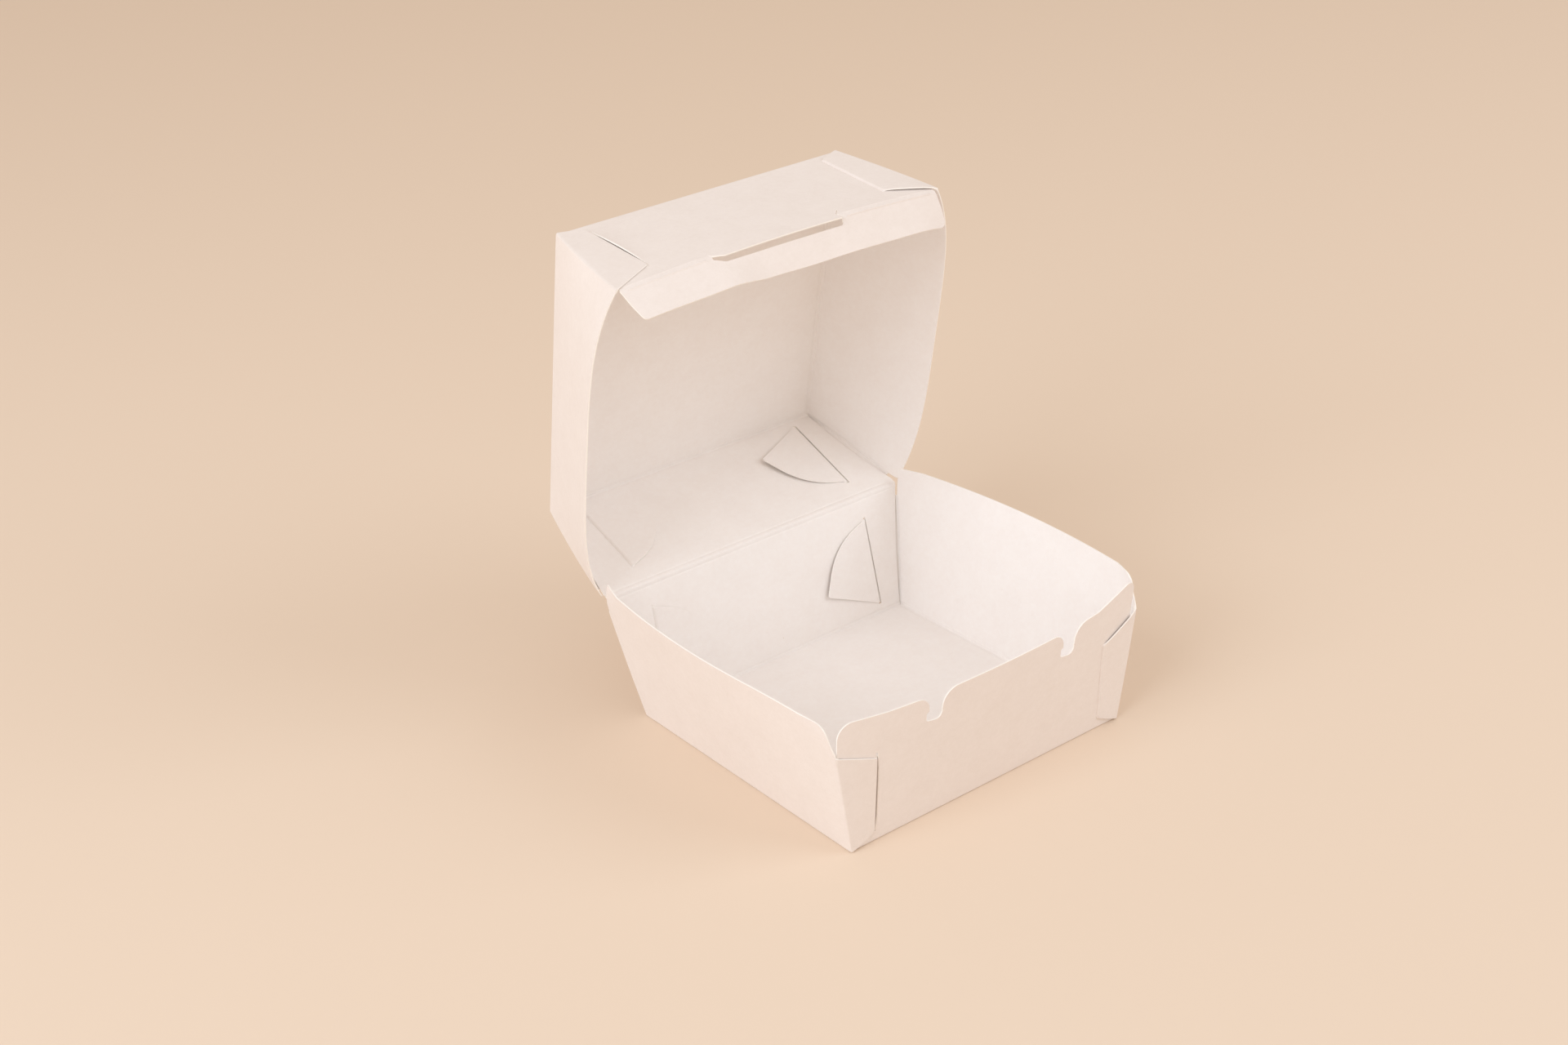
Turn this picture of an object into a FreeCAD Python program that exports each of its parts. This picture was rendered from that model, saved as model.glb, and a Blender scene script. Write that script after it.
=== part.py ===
"""Hinged takeaway box folded from one sheet of white paperboard, standing open.

Millimetres, +Z up. X runs along the hinge, -Y is the front. The origin is the middle of
the tray's floor, on the table. Walls are lofted from their straight floor crease to a mouth
edge that bows outward, as folded card does, and are then trimmed to their cut outline.
"""
import FreeCAD, Part
import math
import os

# The sheet
CARD = 0.45
LAYER_GAP = 0.12
CREASE_GAP = 0.12
CORNER_GAP = 0.15

# The tray: its floor, and how far each wall leans out by the height of the hinge crease
FLOOR_WIDTH = 106.0
FLOOR_DEPTH = 104.0
HINGE_HEIGHT = 42.3
TRAY_SIDE_FLARE = 6.3
TRAY_FRONT_FLARE = 3.2
TRAY_REAR_FLARE = 6.9
TRAY_SIDE_BOW = 4.5
TRAY_FRONT_BOW = 4.0
TRAY_BOW_FULLNESS = 2.0

# The tray's side walls rise past the hinge crease, and their top corners curl in to clear
# the lid. The curl is the distance in at the very corner, and its reach a share of the wall.
SIDE_RISE = 6.0
SIDE_FRONT_SETBACK = 2.7
SIDE_FRONT_RADIUS = 5.0
SIDE_REAR_SETBACK = 1.9
SIDE_REAR_RADIUS = 3.0
CURL = 3.4
CURL_HEIGHT = 8.0
CURL_REACH = 0.3
CURL_POWER = 1.3

# The tray's front wall: an ear at each corner, a shoulder, and a tongue between two notches
EAR_HEIGHT = 47.2
EAR_SETBACK = 1.3
EAR_RADIUS = 6.0
SHOULDER_HEIGHT = 44.2
SHOULDER_RUN = 17.0
TONGUE_HEIGHT = 43.6
NOTCH_WIDTH = 5.0
NOTCH_FLOOR = 34.6
NOTCH_LEFT_EDGE = -26.2
NOTCH_RIGHT_EDGE = 25.8
NOTCH_LIP_RADIUS = 2.6
NOTCH_SWEEP_RADIUS = 5.5
NOTCH_HOOK = 0.8

# The lid, measured from its top panel to its mouth
LID_TOP_WIDTH = FLOOR_WIDTH
LID_TOP_DEPTH = FLOOR_DEPTH - 1.0
LID_HEIGHT = 42.0
LID_REAR_FLARE = 5.1
LID_SIDE_CLEARANCE = 0.4
LID_FRONT_CLEARANCE = 1.1
LID_EXTRA_SIDE_BOW = 3.9
LID_FRONT_BOW = 2.4
LID_BOW_FULLNESS = 4.0
OPEN_ANGLE = 75.7

# The slot that takes the tongue, cut along the lid's front crease
SLOT_LEFT = -27.0
SLOT_RIGHT = 20.6
SLOT_RAMP = 3.6
SLOT_STRIP = 2.0
SLOT_OPENING = 1.2
SLOT_TICK = 2.0

# The tuck lip below that crease
LIP_WIDTH = 11.5
LIP_FOLD = 30.0
LIP_END_CLEARANCE = 0.5
LIP_END_TAPER = 1.8
LIP_CORNER_RADIUS = 3.5

# The corner locks: a tab outside the end wall whose fin goes in through a slit. Distances
# are taken from the corner crease along the wall, and from the panel crease up the wall.
SLIT_LOW_IN = 9.4
SLIT_LOW_UP = 4.0
SLIT_HIGH_IN = 14.8
SLIT_HIGH_UP = 34.8
TRAY_FRONT_SLIT_HIGH_IN = 13.6
TRAY_FRONT_SLIT_HIGH_UP = 31.0
SLIT_OVERRUN = 0.5
FIN_TIP_IN = 32.3
FIN_TIP_UP = 14.0
FIN_BULGE_IN = 28.0
FIN_BULGE_UP = 30.0
FIN_BULGE_RADIUS = 18.0
FRONT_TAB_TOP = 35.3
HINGE_TAB_SETBACK = 4.4

# Construction only: how far raw walls and cutters run past what they make
RAW_MARGIN = 4.0
REACH = FLOOR_WIDTH

FRONT = -1
REAR = 1


def vector(x, y, z):
    return FreeCAD.Vector(x, y, z)


def in_side_view(a, b):
    return vector(0, a, b)


def in_front_view(a, b):
    return vector(a, 0, b)


def rounded_face(corners, place):
    """Face through corners (a, b, radius); place puts each point in the view's plane."""
    runs = []
    for index, (a, b, radius) in enumerate(corners):
        here = vector(a, b, 0)
        if not radius:
            runs.append([here])
            continue
        last = corners[index - 1]
        following = corners[(index + 1) % len(corners)]
        back = (vector(last[0], last[1], 0) - here).normalize()
        ahead = (vector(following[0], following[1], 0) - here).normalize()
        half_angle = back.getAngle(ahead) / 2
        reach = radius / math.tan(half_angle)
        centre = here + (back + ahead).normalize() * (radius / math.sin(half_angle))
        middle = centre + (here - centre).normalize() * radius
        runs.append([here + back * reach, middle, here + ahead * reach])
    edges = []
    for index, run in enumerate(runs):
        points = [place(point.x, point.y) for point in run]
        if len(points) == 3:
            edges.append(Part.Arc(*points).toShape())
        following = runs[(index + 1) % len(runs)][0]
        edges.append(Part.LineSegment(points[-1], place(following.x, following.y)).toShape())
    return Part.Face(Part.Wire(edges))


def loft(sections):
    """Solid through sections with equal numbers of corners."""
    wires = [Part.makePolygon(corners + corners[:1]) for corners in sections]
    return Part.makeLoft(wires, True, len(wires) == 2)


def spread(low, high, count):
    return [low + (high - low) * step / (count - 1) for step in range(count)]


class Shell:
    """Four flared walls folded up from a rectangular panel, with locked corners."""

    def __init__(self, width, depth, middle_y, height, flares, bows, side_power, curl, slit_high):
        self.half_width = width / 2
        self.half_depth = depth / 2
        self.middle_y = middle_y
        self.height = height
        self.side_flare, self.front_flare, self.rear_flare = flares
        self.side_bow, self.front_bow = bows
        self.side_power = side_power
        self.curl = curl
        self.slit_high = {FRONT: slit_high, REAR: (SLIT_HIGH_IN, SLIT_HIGH_UP)}

    def flare(self, end):
        return self.front_flare if end == FRONT else self.rear_flare

    def lean(self, end):
        return math.atan2(self.flare(end), self.height)

    def corner_x(self, z):
        return self.half_width + self.side_flare * z / self.height

    def side_x(self, y, z):
        """Outer face of the right wall."""
        front = self.end_y(self.half_width, self.height, FRONT)
        rear = self.end_y(self.half_width, self.height, REAR)
        share = abs(2 * y - front - rear) / (rear - front)
        bow = self.side_bow * (1 - share ** self.side_power)
        near_end = max(0, (share - 1 + CURL_REACH) / CURL_REACH)
        near_top = max(0, 1 - (self.height + SIDE_RISE - z) / CURL_HEIGHT)
        curl = self.curl * near_end ** CURL_POWER * near_top ** 2
        return self.corner_x(z) + bow * z / self.height - curl

    def end_y(self, x, z, end):
        """Outer face of the front or rear wall."""
        straight = self.half_depth + self.flare(end) * z / self.height
        bow = self.front_bow if end == FRONT else 0
        crown = bow * (1 - (x / self.corner_x(self.height)) ** 2) * z / self.height
        return self.middle_y + end * (straight + crown)

    def side_wall(self, outline):
        """Right wall, cut to an outline in the side view."""
        curl_low = self.height + SIDE_RISE - CURL_HEIGHT
        heights = [-RAW_MARGIN, self.height + 2 * RAW_MARGIN]
        if self.curl:
            heights = [-RAW_MARGIN] + spread(curl_low, self.height + SIDE_RISE + 1, 5)
        skin = CARD / math.cos(math.atan2(self.side_flare, self.height))
        ends = [self.end_y(self.half_width, self.height, end) for end in (FRONT, REAR)]
        sections = []
        for y in spread(ends[0] - RAW_MARGIN, ends[1] + RAW_MARGIN, 21):
            outer = [vector(self.side_x(y, z), y, z) for z in heights]
            inner = [point - vector(skin, 0, 0) for point in outer]
            sections.append(outer + inner[::-1])
        cutter = rounded_face(outline, in_side_view).extrude(vector(REACH, 0, 0))
        return loft(sections).common(cutter)

    def end_layer(self, end, outer, inner, outline):
        """Layer of an end wall between two depths inward from its outer face."""
        low = -RAW_MARGIN
        high = self.height + 2 * RAW_MARGIN
        slant = math.cos(self.lean(end))
        limit = self.corner_x(self.height) + RAW_MARGIN
        bowed = end == FRONT and self.front_bow > 0
        sections = []
        for x in spread(-limit, limit, 13 if bowed else 2):
            bottom = self.end_y(x, low, end)
            top = self.end_y(x, high, end)
            sections.append([
                vector(x, bottom - end * outer / slant, low),
                vector(x, top - end * outer / slant, high),
                vector(x, top - end * inner / slant, high),
                vector(x, bottom - end * inner / slant, low),
            ])
        cutter = rounded_face(outline, in_front_view).extrude(vector(0, end * REACH, 0))
        return loft(sections).common(cutter)

    def wall_edge_x(self, z):
        """Free edge of an end wall, just inside the side wall."""
        skin = CARD / math.cos(math.atan2(self.side_flare, self.height))
        return self.corner_x(z) - skin - CORNER_GAP

    def lock_point(self, end, inward, upward):
        """Point on the right half of an end wall, in the front view."""
        z = upward * math.cos(self.lean(end))
        return self.corner_x(z) - inward, z

    def slit_strip(self, end, half_width, overrun):
        """Strip along the slit, in the front view."""
        low = vector(*self.lock_point(end, SLIT_LOW_IN, SLIT_LOW_UP), 0)
        high = vector(*self.lock_point(end, *self.slit_high[end]), 0)
        along = (high - low).normalize()
        across = vector(along.y, -along.x, 0) * half_width
        ends = (low - along * overrun, high + along * overrun)
        corners = (ends[0] + across, ends[1] + across, ends[1] - across, ends[0] - across)
        return [(corner.x, corner.y, 0) for corner in corners]

    def corner_lock(self, end, tab_top):
        """Tab outside the wall, the fold through the slit, and the fin inside."""
        strip = self.slit_strip(end, CARD / 2, 0)
        tab_corner = self.corner_x(tab_top)
        tab = self.end_layer(end, -LAYER_GAP - CARD, -LAYER_GAP, [
            (self.corner_x(0), 0, 0),
            (tab_corner, tab_top, 0),
            strip[2],
            strip[3],
        ])
        fold = self.end_layer(end, -LAYER_GAP - CARD, LAYER_GAP + 2 * CARD, strip)
        fin = self.end_layer(end, CARD + LAYER_GAP, LAYER_GAP + 2 * CARD, [
            strip[0],
            strip[1],
            (*self.lock_point(end, FIN_BULGE_IN, FIN_BULGE_UP), FIN_BULGE_RADIUS),
            (*self.lock_point(end, FIN_TIP_IN, FIN_TIP_UP), 0),
        ])
        return [tab, fold, fin]

    def end_wall(self, end, outline):
        """End wall with the two slits that its locks pass through."""
        wall = self.end_layer(end, 0, CARD, outline)
        slit = rounded_face(
            self.slit_strip(end, CARD / 2 + LAYER_GAP, SLIT_OVERRUN), in_front_view
        ).extrude(vector(0, end * REACH, 0))
        return wall.cut([slit, mirrored(slit)])

    def tab_face_y(self, z, end):
        """Outer face of the corner tabs."""
        return self.end_y(self.corner_x(z), z, end) + end * (LAYER_GAP + CARD)

    def panel(self):
        """The flat panel that all four walls fold up from."""
        inset = LAYER_GAP / 2
        size = (2 * (self.half_width - inset), 2 * (self.half_depth - inset), CARD)
        corner = vector(inset - self.half_width, self.middle_y + inset - self.half_depth, 0)
        return Part.makeBox(*size, corner)


def mirrored(shape):
    return shape.mirror(vector(0, 0, 0), vector(1, 0, 0))


def joined(right_half, middle):
    """One solid from the pieces right of the middle, their mirror images and the rest."""
    pieces = right_half + [mirrored(piece) for piece in right_half] + middle
    return pieces[0].fuse(pieces[1:]).removeSplitter()


def notch(left_edge):
    """Outline of one notch from left to right: small lip, hook, floor and long sweep."""
    right_edge = left_edge + NOTCH_WIDTH
    hook_top = NOTCH_FLOOR + 0.4 * (TONGUE_HEIGHT - NOTCH_FLOOR)
    return [
        (left_edge, TONGUE_HEIGHT, NOTCH_LIP_RADIUS),
        (left_edge, hook_top, 0.4),
        (left_edge - NOTCH_HOOK, hook_top - NOTCH_HOOK / 2, 0.4),
        (left_edge - NOTCH_HOOK, NOTCH_FLOOR, 1.0),
        (right_edge, NOTCH_FLOOR, 1.2),
        (right_edge, TONGUE_HEIGHT, NOTCH_SWEEP_RADIUS),
    ]


def tray_front_outline(shell):
    """Front wall in the front view, with its ears, shoulders, notches and tongue."""
    tab_top = FRONT_TAB_TOP * math.cos(shell.lean(FRONT))
    low_edge = shell.wall_edge_x(0)
    tab_edge = shell.wall_edge_x(tab_top)
    ear_edge = shell.corner_x(tab_top) - EAR_SETBACK
    shoulder = ear_edge - SHOULDER_RUN
    points = [(-low_edge, 0, 0), (-tab_edge, tab_top, 0)]
    points += [(-ear_edge, EAR_HEIGHT, EAR_RADIUS), (-shoulder, SHOULDER_HEIGHT, EAR_RADIUS)]
    points += notch(NOTCH_LEFT_EDGE)
    points += notch(NOTCH_RIGHT_EDGE)
    points += [(shoulder, SHOULDER_HEIGHT, EAR_RADIUS), (ear_edge, EAR_HEIGHT, EAR_RADIUS)]
    points += [(tab_edge, tab_top, 0), (low_edge, 0, 0)]
    return points


def plain_wall_outline(shell):
    """Rear wall in the front view, up to the hinge crease."""
    top = shell.height - CREASE_GAP
    bottom_edge = shell.wall_edge_x(0)
    top_edge = shell.wall_edge_x(top)
    return [
        (-bottom_edge, 0, 0),
        (-top_edge, top, 0),
        (top_edge, top, 0),
        (bottom_edge, 0, 0),
    ]


def tray_side_outline(shell):
    """Side wall in the side view: cut back at both ends above the tabs, then rounded."""
    front_tab = FRONT_TAB_TOP * math.cos(shell.lean(FRONT))
    rear_tab = HINGE_HEIGHT - HINGE_TAB_SETBACK
    top = HINGE_HEIGHT + SIDE_RISE
    front_free = shell.end_y(shell.half_width, HINGE_HEIGHT, FRONT)
    rear_free = shell.end_y(shell.half_width, HINGE_HEIGHT, REAR) - SIDE_REAR_SETBACK
    return [
        (shell.tab_face_y(0, FRONT), 0, 0),
        (shell.tab_face_y(front_tab, FRONT), front_tab, 0),
        (front_free + SIDE_FRONT_SETBACK, HINGE_HEIGHT, 0),
        (front_free + SIDE_FRONT_SETBACK + CARD, top, SIDE_FRONT_RADIUS),
        (rear_free, top, SIDE_REAR_RADIUS),
        (rear_free, HINGE_HEIGHT - SIDE_REAR_SETBACK, 1),
        (shell.end_y(shell.half_width, rear_tab, REAR) - CARD, rear_tab, 0),
        (shell.tab_face_y(rear_tab, REAR), rear_tab, 0),
        (shell.tab_face_y(0, REAR), 0, 0),
    ]


def make_tray(shell):
    front_tab = FRONT_TAB_TOP * math.cos(shell.lean(FRONT))
    rear_tab = HINGE_HEIGHT - HINGE_TAB_SETBACK
    right_half = [shell.side_wall(tray_side_outline(shell))]
    right_half += shell.corner_lock(FRONT, front_tab)
    right_half += shell.corner_lock(REAR, rear_tab)
    front = shell.end_wall(FRONT, tray_front_outline(shell))
    rear = shell.end_wall(REAR, plain_wall_outline(shell))
    return joined(right_half, [shell.panel(), front, rear])


def lid_side_outline(shell):
    """Side wall in the side view, its mouth edge level with the hinge crease."""
    rear_tab = shell.height - HINGE_TAB_SETBACK
    rear_free = shell.end_y(shell.half_width, rear_tab, REAR) - CARD
    return [
        (shell.tab_face_y(0, FRONT), 0, 0),
        (shell.tab_face_y(shell.height, FRONT), shell.height, 1),
        (rear_free, shell.height, 1),
        (rear_free, rear_tab, 0),
        (shell.tab_face_y(rear_tab, REAR), rear_tab, 0),
        (shell.tab_face_y(0, REAR), 0, 0),
    ]


def lid_front_outline(shell):
    """Front wall in the front view: a strip runs on past the crease along the slot."""
    crease = shell.height - CREASE_GAP
    bottom_edge = shell.wall_edge_x(0)
    crease_edge = shell.wall_edge_x(crease)
    strip = crease + SLOT_STRIP
    return [
        (-bottom_edge, 0, 0),
        (-crease_edge, crease, 0),
        (SLOT_LEFT, crease, 0),
        (SLOT_LEFT + SLOT_RAMP, strip, 1),
        (SLOT_RIGHT - CARD, strip, 0),
        (SLOT_RIGHT - CARD, crease - SLOT_TICK, 0),
        (SLOT_RIGHT, crease - SLOT_TICK, 0),
        (SLOT_RIGHT, crease, 0),
        (crease_edge, crease, 0),
        (bottom_edge, 0, 0),
    ]


def make_lid(shell):
    rear_tab = shell.height - HINGE_TAB_SETBACK
    right_half = [shell.side_wall(lid_side_outline(shell))]
    right_half += shell.corner_lock(FRONT, shell.height)
    right_half += shell.corner_lock(REAR, rear_tab)
    front = shell.end_wall(FRONT, lid_front_outline(shell))
    rear = shell.end_wall(REAR, plain_wall_outline(shell))
    return joined(right_half, [shell.panel(), front, rear])


def lip_outline(shell):
    """The flattened lip: tapered ends, round corners, and a recess along the slot."""
    bow_shift = LID_FRONT_BOW * math.sin(math.radians(LIP_FOLD) - shell.lean(FRONT))
    end = shell.wall_edge_x(shell.height) - LIP_END_CLEARANCE
    tip = end - LIP_END_TAPER
    recess = SLOT_STRIP + SLOT_OPENING - bow_shift
    root = -LIP_WIDTH
    return [
        (-end, root, 0),
        (-end, 0, 0),
        (-tip, LIP_WIDTH, LIP_CORNER_RADIUS),
        (0, LIP_WIDTH + CARD, 0),
        (tip, LIP_WIDTH, LIP_CORNER_RADIUS),
        (end, 0, 0),
        (end, root, 0),
        (SLOT_RIGHT, root, 0),
        (SLOT_RIGHT, recess, 0.8),
        (SLOT_LEFT + SLOT_RAMP, recess, 1),
        (SLOT_LEFT, CREASE_GAP - bow_shift, 0),
        (SLOT_LEFT, root, 0),
    ]


def make_lip(shell):
    """Lip folded inward about the inner line of the crease, which follows the wall's bow."""
    turn = math.radians(LIP_FOLD) - shell.lean(FRONT)
    along = vector(0, math.sin(turn), math.cos(turn))
    outward = vector(0, -math.cos(turn), math.sin(turn))
    skin = CARD / math.cos(shell.lean(FRONT))
    limit = shell.corner_x(shell.height)
    sections = []
    for x in spread(-limit, limit, 13):
        root = vector(x, shell.end_y(x, shell.height, FRONT) + skin, shell.height)
        near = root + along * CREASE_GAP
        far = root + along * LIP_WIDTH
        sections.append([near, far, far + outward * CARD, near + outward * CARD])
    corner = vector(0, shell.end_y(limit, shell.height, FRONT) + skin, shell.height)

    def in_lip_plane(a, b):
        return corner + vector(a, 0, 0) + along * b - outward * RAW_MARGIN

    cutter = rounded_face(lip_outline(shell), in_lip_plane).extrude(outward * 3 * RAW_MARGIN)
    return loft(sections).common(cutter)


def swung_open(shape, hinge_y):
    """Turn a shape from the lid's own frame over onto the tray, then open it."""
    over = shape.mirror(vector(0, 0, 0), vector(0, 0, 1))
    over.translate(vector(0, 0, HINGE_HEIGHT + LID_HEIGHT))
    over.rotate(vector(0, hinge_y, HINGE_HEIGHT), vector(1, 0, 0), -OPEN_ANGLE)
    return over


def tray_shell():
    flares = (TRAY_SIDE_FLARE, TRAY_FRONT_FLARE, TRAY_REAR_FLARE)
    bows = (TRAY_SIDE_BOW, TRAY_FRONT_BOW)
    size = (FLOOR_WIDTH, FLOOR_DEPTH, 0, HINGE_HEIGHT)
    slit_high = (TRAY_FRONT_SLIT_HIGH_IN, TRAY_FRONT_SLIT_HIGH_UP)
    return Shell(*size, flares, bows, TRAY_BOW_FULLNESS, CURL, slit_high)


def lid_shell(tray):
    """The lid's mouth follows the tray's, its sides outside and its front inside."""
    hinge_y = tray.end_y(tray.half_width, HINGE_HEIGHT, REAR)
    front_y = tray.end_y(tray.corner_x(HINGE_HEIGHT), HINGE_HEIGHT, FRONT) + LID_FRONT_CLEARANCE
    middle_y = hinge_y - LID_REAR_FLARE - LID_TOP_DEPTH / 2
    front_flare = middle_y - LID_TOP_DEPTH / 2 - front_y
    mouth = tray.corner_x(HINGE_HEIGHT) + LID_SIDE_CLEARANCE
    flares = (mouth - LID_TOP_WIDTH / 2, front_flare, LID_REAR_FLARE)
    bows = (TRAY_SIDE_BOW + LID_EXTRA_SIDE_BOW, LID_FRONT_BOW)
    size = (LID_TOP_WIDTH, LID_TOP_DEPTH, middle_y, LID_HEIGHT)
    slit_high = (SLIT_HIGH_IN, SLIT_HIGH_UP)
    return Shell(*size, flares, bows, LID_BOW_FULLNESS, 0, slit_high)


def main():
    tray = tray_shell()
    lid = lid_shell(tray)
    hinge_y = tray.end_y(tray.half_width, HINGE_HEIGHT, REAR)
    parts = {
        "tray": make_tray(tray),
        "lid": swung_open(make_lid(lid), hinge_y),
        "tuck_flap": swung_open(make_lip(lid), hinge_y),
    }
    os.makedirs("parts", exist_ok=True)
    for name, shape in parts.items():
        solid = shape.Solids[0]
        box = solid.BoundBox
        print(f"{name}: {len(shape.Solids)} solid, valid {solid.isValid()}, "
              f"{solid.Volume:.0f} mm3, {box.XLength:.1f} x {box.YLength:.1f} x {box.ZLength:.1f}")
        solid.exportStep(f"parts/{name}.step")


main()
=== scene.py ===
"""Open takeaway box, folded from one blank of white paperboard.

Sizes are in millimetres while the board is drawn and become metres in the meshes. X runs
along the hinge, -Y is the front, +Z is up, and the origin is the middle of the tray's floor.
"""
from __future__ import annotations

import logging
import math
from collections.abc import Callable
from dataclasses import dataclass, field, replace
from enum import Enum
from functools import partial

import bpy
import numpy as np
from mathutils import Matrix, Vector
from mathutils.geometry import delaunay_2d_cdt


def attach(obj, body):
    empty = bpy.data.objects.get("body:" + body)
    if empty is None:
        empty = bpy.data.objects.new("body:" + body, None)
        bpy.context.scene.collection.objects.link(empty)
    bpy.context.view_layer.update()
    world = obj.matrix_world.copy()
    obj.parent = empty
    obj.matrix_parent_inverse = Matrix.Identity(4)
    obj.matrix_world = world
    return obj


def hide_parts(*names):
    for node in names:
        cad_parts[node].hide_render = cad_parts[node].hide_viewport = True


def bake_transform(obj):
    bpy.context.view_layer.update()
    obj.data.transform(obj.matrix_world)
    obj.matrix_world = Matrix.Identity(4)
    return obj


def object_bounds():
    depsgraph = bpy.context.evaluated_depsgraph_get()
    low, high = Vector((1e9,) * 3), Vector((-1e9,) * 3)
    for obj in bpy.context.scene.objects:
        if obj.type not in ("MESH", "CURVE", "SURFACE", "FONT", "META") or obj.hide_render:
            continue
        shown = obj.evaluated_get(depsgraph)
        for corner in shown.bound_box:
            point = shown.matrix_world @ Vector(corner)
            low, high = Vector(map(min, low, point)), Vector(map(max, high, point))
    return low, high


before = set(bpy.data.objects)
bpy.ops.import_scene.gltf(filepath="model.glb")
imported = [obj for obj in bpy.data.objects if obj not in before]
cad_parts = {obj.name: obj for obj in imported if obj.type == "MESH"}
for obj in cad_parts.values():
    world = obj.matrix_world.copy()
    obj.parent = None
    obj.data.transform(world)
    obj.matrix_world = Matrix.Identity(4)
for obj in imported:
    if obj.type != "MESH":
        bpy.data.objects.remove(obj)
CAD_BOX = [[float(value) for value in corner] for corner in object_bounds()]

LOG = logging.getLogger("takeaway_box")

MM = 0.001
CARD = 0.45
LAYER_GAP = 0.12
BOARD_IOR = 1.5

# Half width of the strips of board that bend where a joint's crease is.
CREASE_STRIP = 1.3
# Grid lines on either side of a crease, and how far from it the even grid starts again.
CREASE_GAPS = (0.0, 0.15, 0.3, 0.45, 0.6, 0.8, 1.0, 1.15, 1.3, 1.45, 1.6, 1.9, 2.4)
CREASE_CLEARANCE = 2.9
FOLD_GAPS = (0.1, 0.3, 0.45, 0.6, 0.7, 0.8, 0.9, 1.0, 1.15)
TIGHT_GAP = 0.5
WALL_STEP = 2.5
# Grid points nearer than this to a cut edge are left out.
EDGE_CLEARANCE = 0.12
SHARP_DEGREES = 45.0

Point = tuple[float, float]
Corner = tuple[float, float, float]
Surface = Callable[[float, float], Vector]
Relief = Callable[[float, float], float]


class End(Enum):
    """The two end walls of a shell, along Y."""

    FRONT = -1
    REAR = 1


class Side(Enum):
    """The two side walls of a shell, along X."""

    LEFT = -1
    RIGHT = 1


class Finish(Enum):
    """The surfaces that every piece of the board shows, by their material slot."""

    OUTER = 0
    INNER = 1
    EDGE = 2


Finishes = dict[Finish, bpy.types.Material]


def linear(hex_code: str) -> tuple[float, float, float, float]:
    """Turn an sRGB hex colour into linear RGBA.

    Args:
        hex_code: Six hex digits after a hash sign.

    Returns:
        Linear red, green and blue, with an alpha of 1.
    """
    channels = [int(hex_code[start:start + 2], 16) / 255 for start in (1, 3, 5)]
    red, green, blue = (
        value / 12.92 if value <= 0.04045 else ((value + 0.055) / 1.055) ** 2.4
        for value in channels
    )
    return red, green, blue, 1.0


def add_node(
    tree: bpy.types.NodeTree,
    kind: str,
    inputs: dict[str | int, object] | None = None,
    **settings: object,
) -> bpy.types.Node:
    """Add a node with its settings, values and links.

    Args:
        tree: Node tree that gets the node.
        kind: Blender's type name of the node.
        inputs: Value, or output socket to link from, for each input name or index.
        settings: Properties of the node itself.

    Returns:
        The new node.
    """
    node = tree.nodes.new(kind)
    for name, value in settings.items():
        setattr(node, name, value)
    for key, value in (inputs or {}).items():
        socket = node.inputs[key]
        if isinstance(value, bpy.types.NodeSocket):
            tree.links.new(value, socket)
        else:
            socket.default_value = value
    return node


@dataclass(frozen=True)
class Blotches:
    """One layer of a noise pattern, by the real size of its blotches."""

    size_mm: float
    detail: float
    roughness: float = 0.5

    def inputs(self, place: bpy.types.NodeSocket) -> dict[str | int, object]:
        """Inputs of the noise node, whose coordinates are metres."""
        return {"Vector": place, "Scale": 1 / (self.size_mm * MM),
                "Detail": self.detail, "Roughness": self.roughness}


def start_material(name: str) -> tuple[bpy.types.Material, bpy.types.NodeSocket]:
    """Start a material with an empty tree.

    Args:
        name: Name of the material.

    Returns:
        The material, and the object's own coordinates in metres.
    """
    material = bpy.data.materials.new(name)
    material.use_nodes = True
    material.node_tree.nodes.clear()
    place = add_node(material.node_tree, "ShaderNodeTexCoord").outputs["Object"]
    return material, place


def end_material(
    tree: bpy.types.NodeTree,
    shader_inputs: dict[str | int, object],
    height: bpy.types.NodeSocket,
    tooth_mm: float,
    tooth_strength: float,
) -> None:
    """End a material's tree in a matt shader with a fine tooth.

    Args:
        tree: Node tree of the material.
        shader_inputs: Colour, roughness and specular level.
        height: Pattern that lifts the surface.
        tooth_mm: Height of the tooth.
        tooth_strength: How much of the tooth the light shows.
    """
    bump = add_node(
        tree, "ShaderNodeBump",
        {"Height": height, "Distance": tooth_mm * MM, "Strength": tooth_strength},
    )
    shader = add_node(
        tree, "ShaderNodeBsdfPrincipled",
        {**shader_inputs, "IOR": BOARD_IOR, "Normal": bump.outputs["Normal"]},
    )
    add_node(tree, "ShaderNodeOutputMaterial", {"Surface": shader.outputs["BSDF"]})


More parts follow.
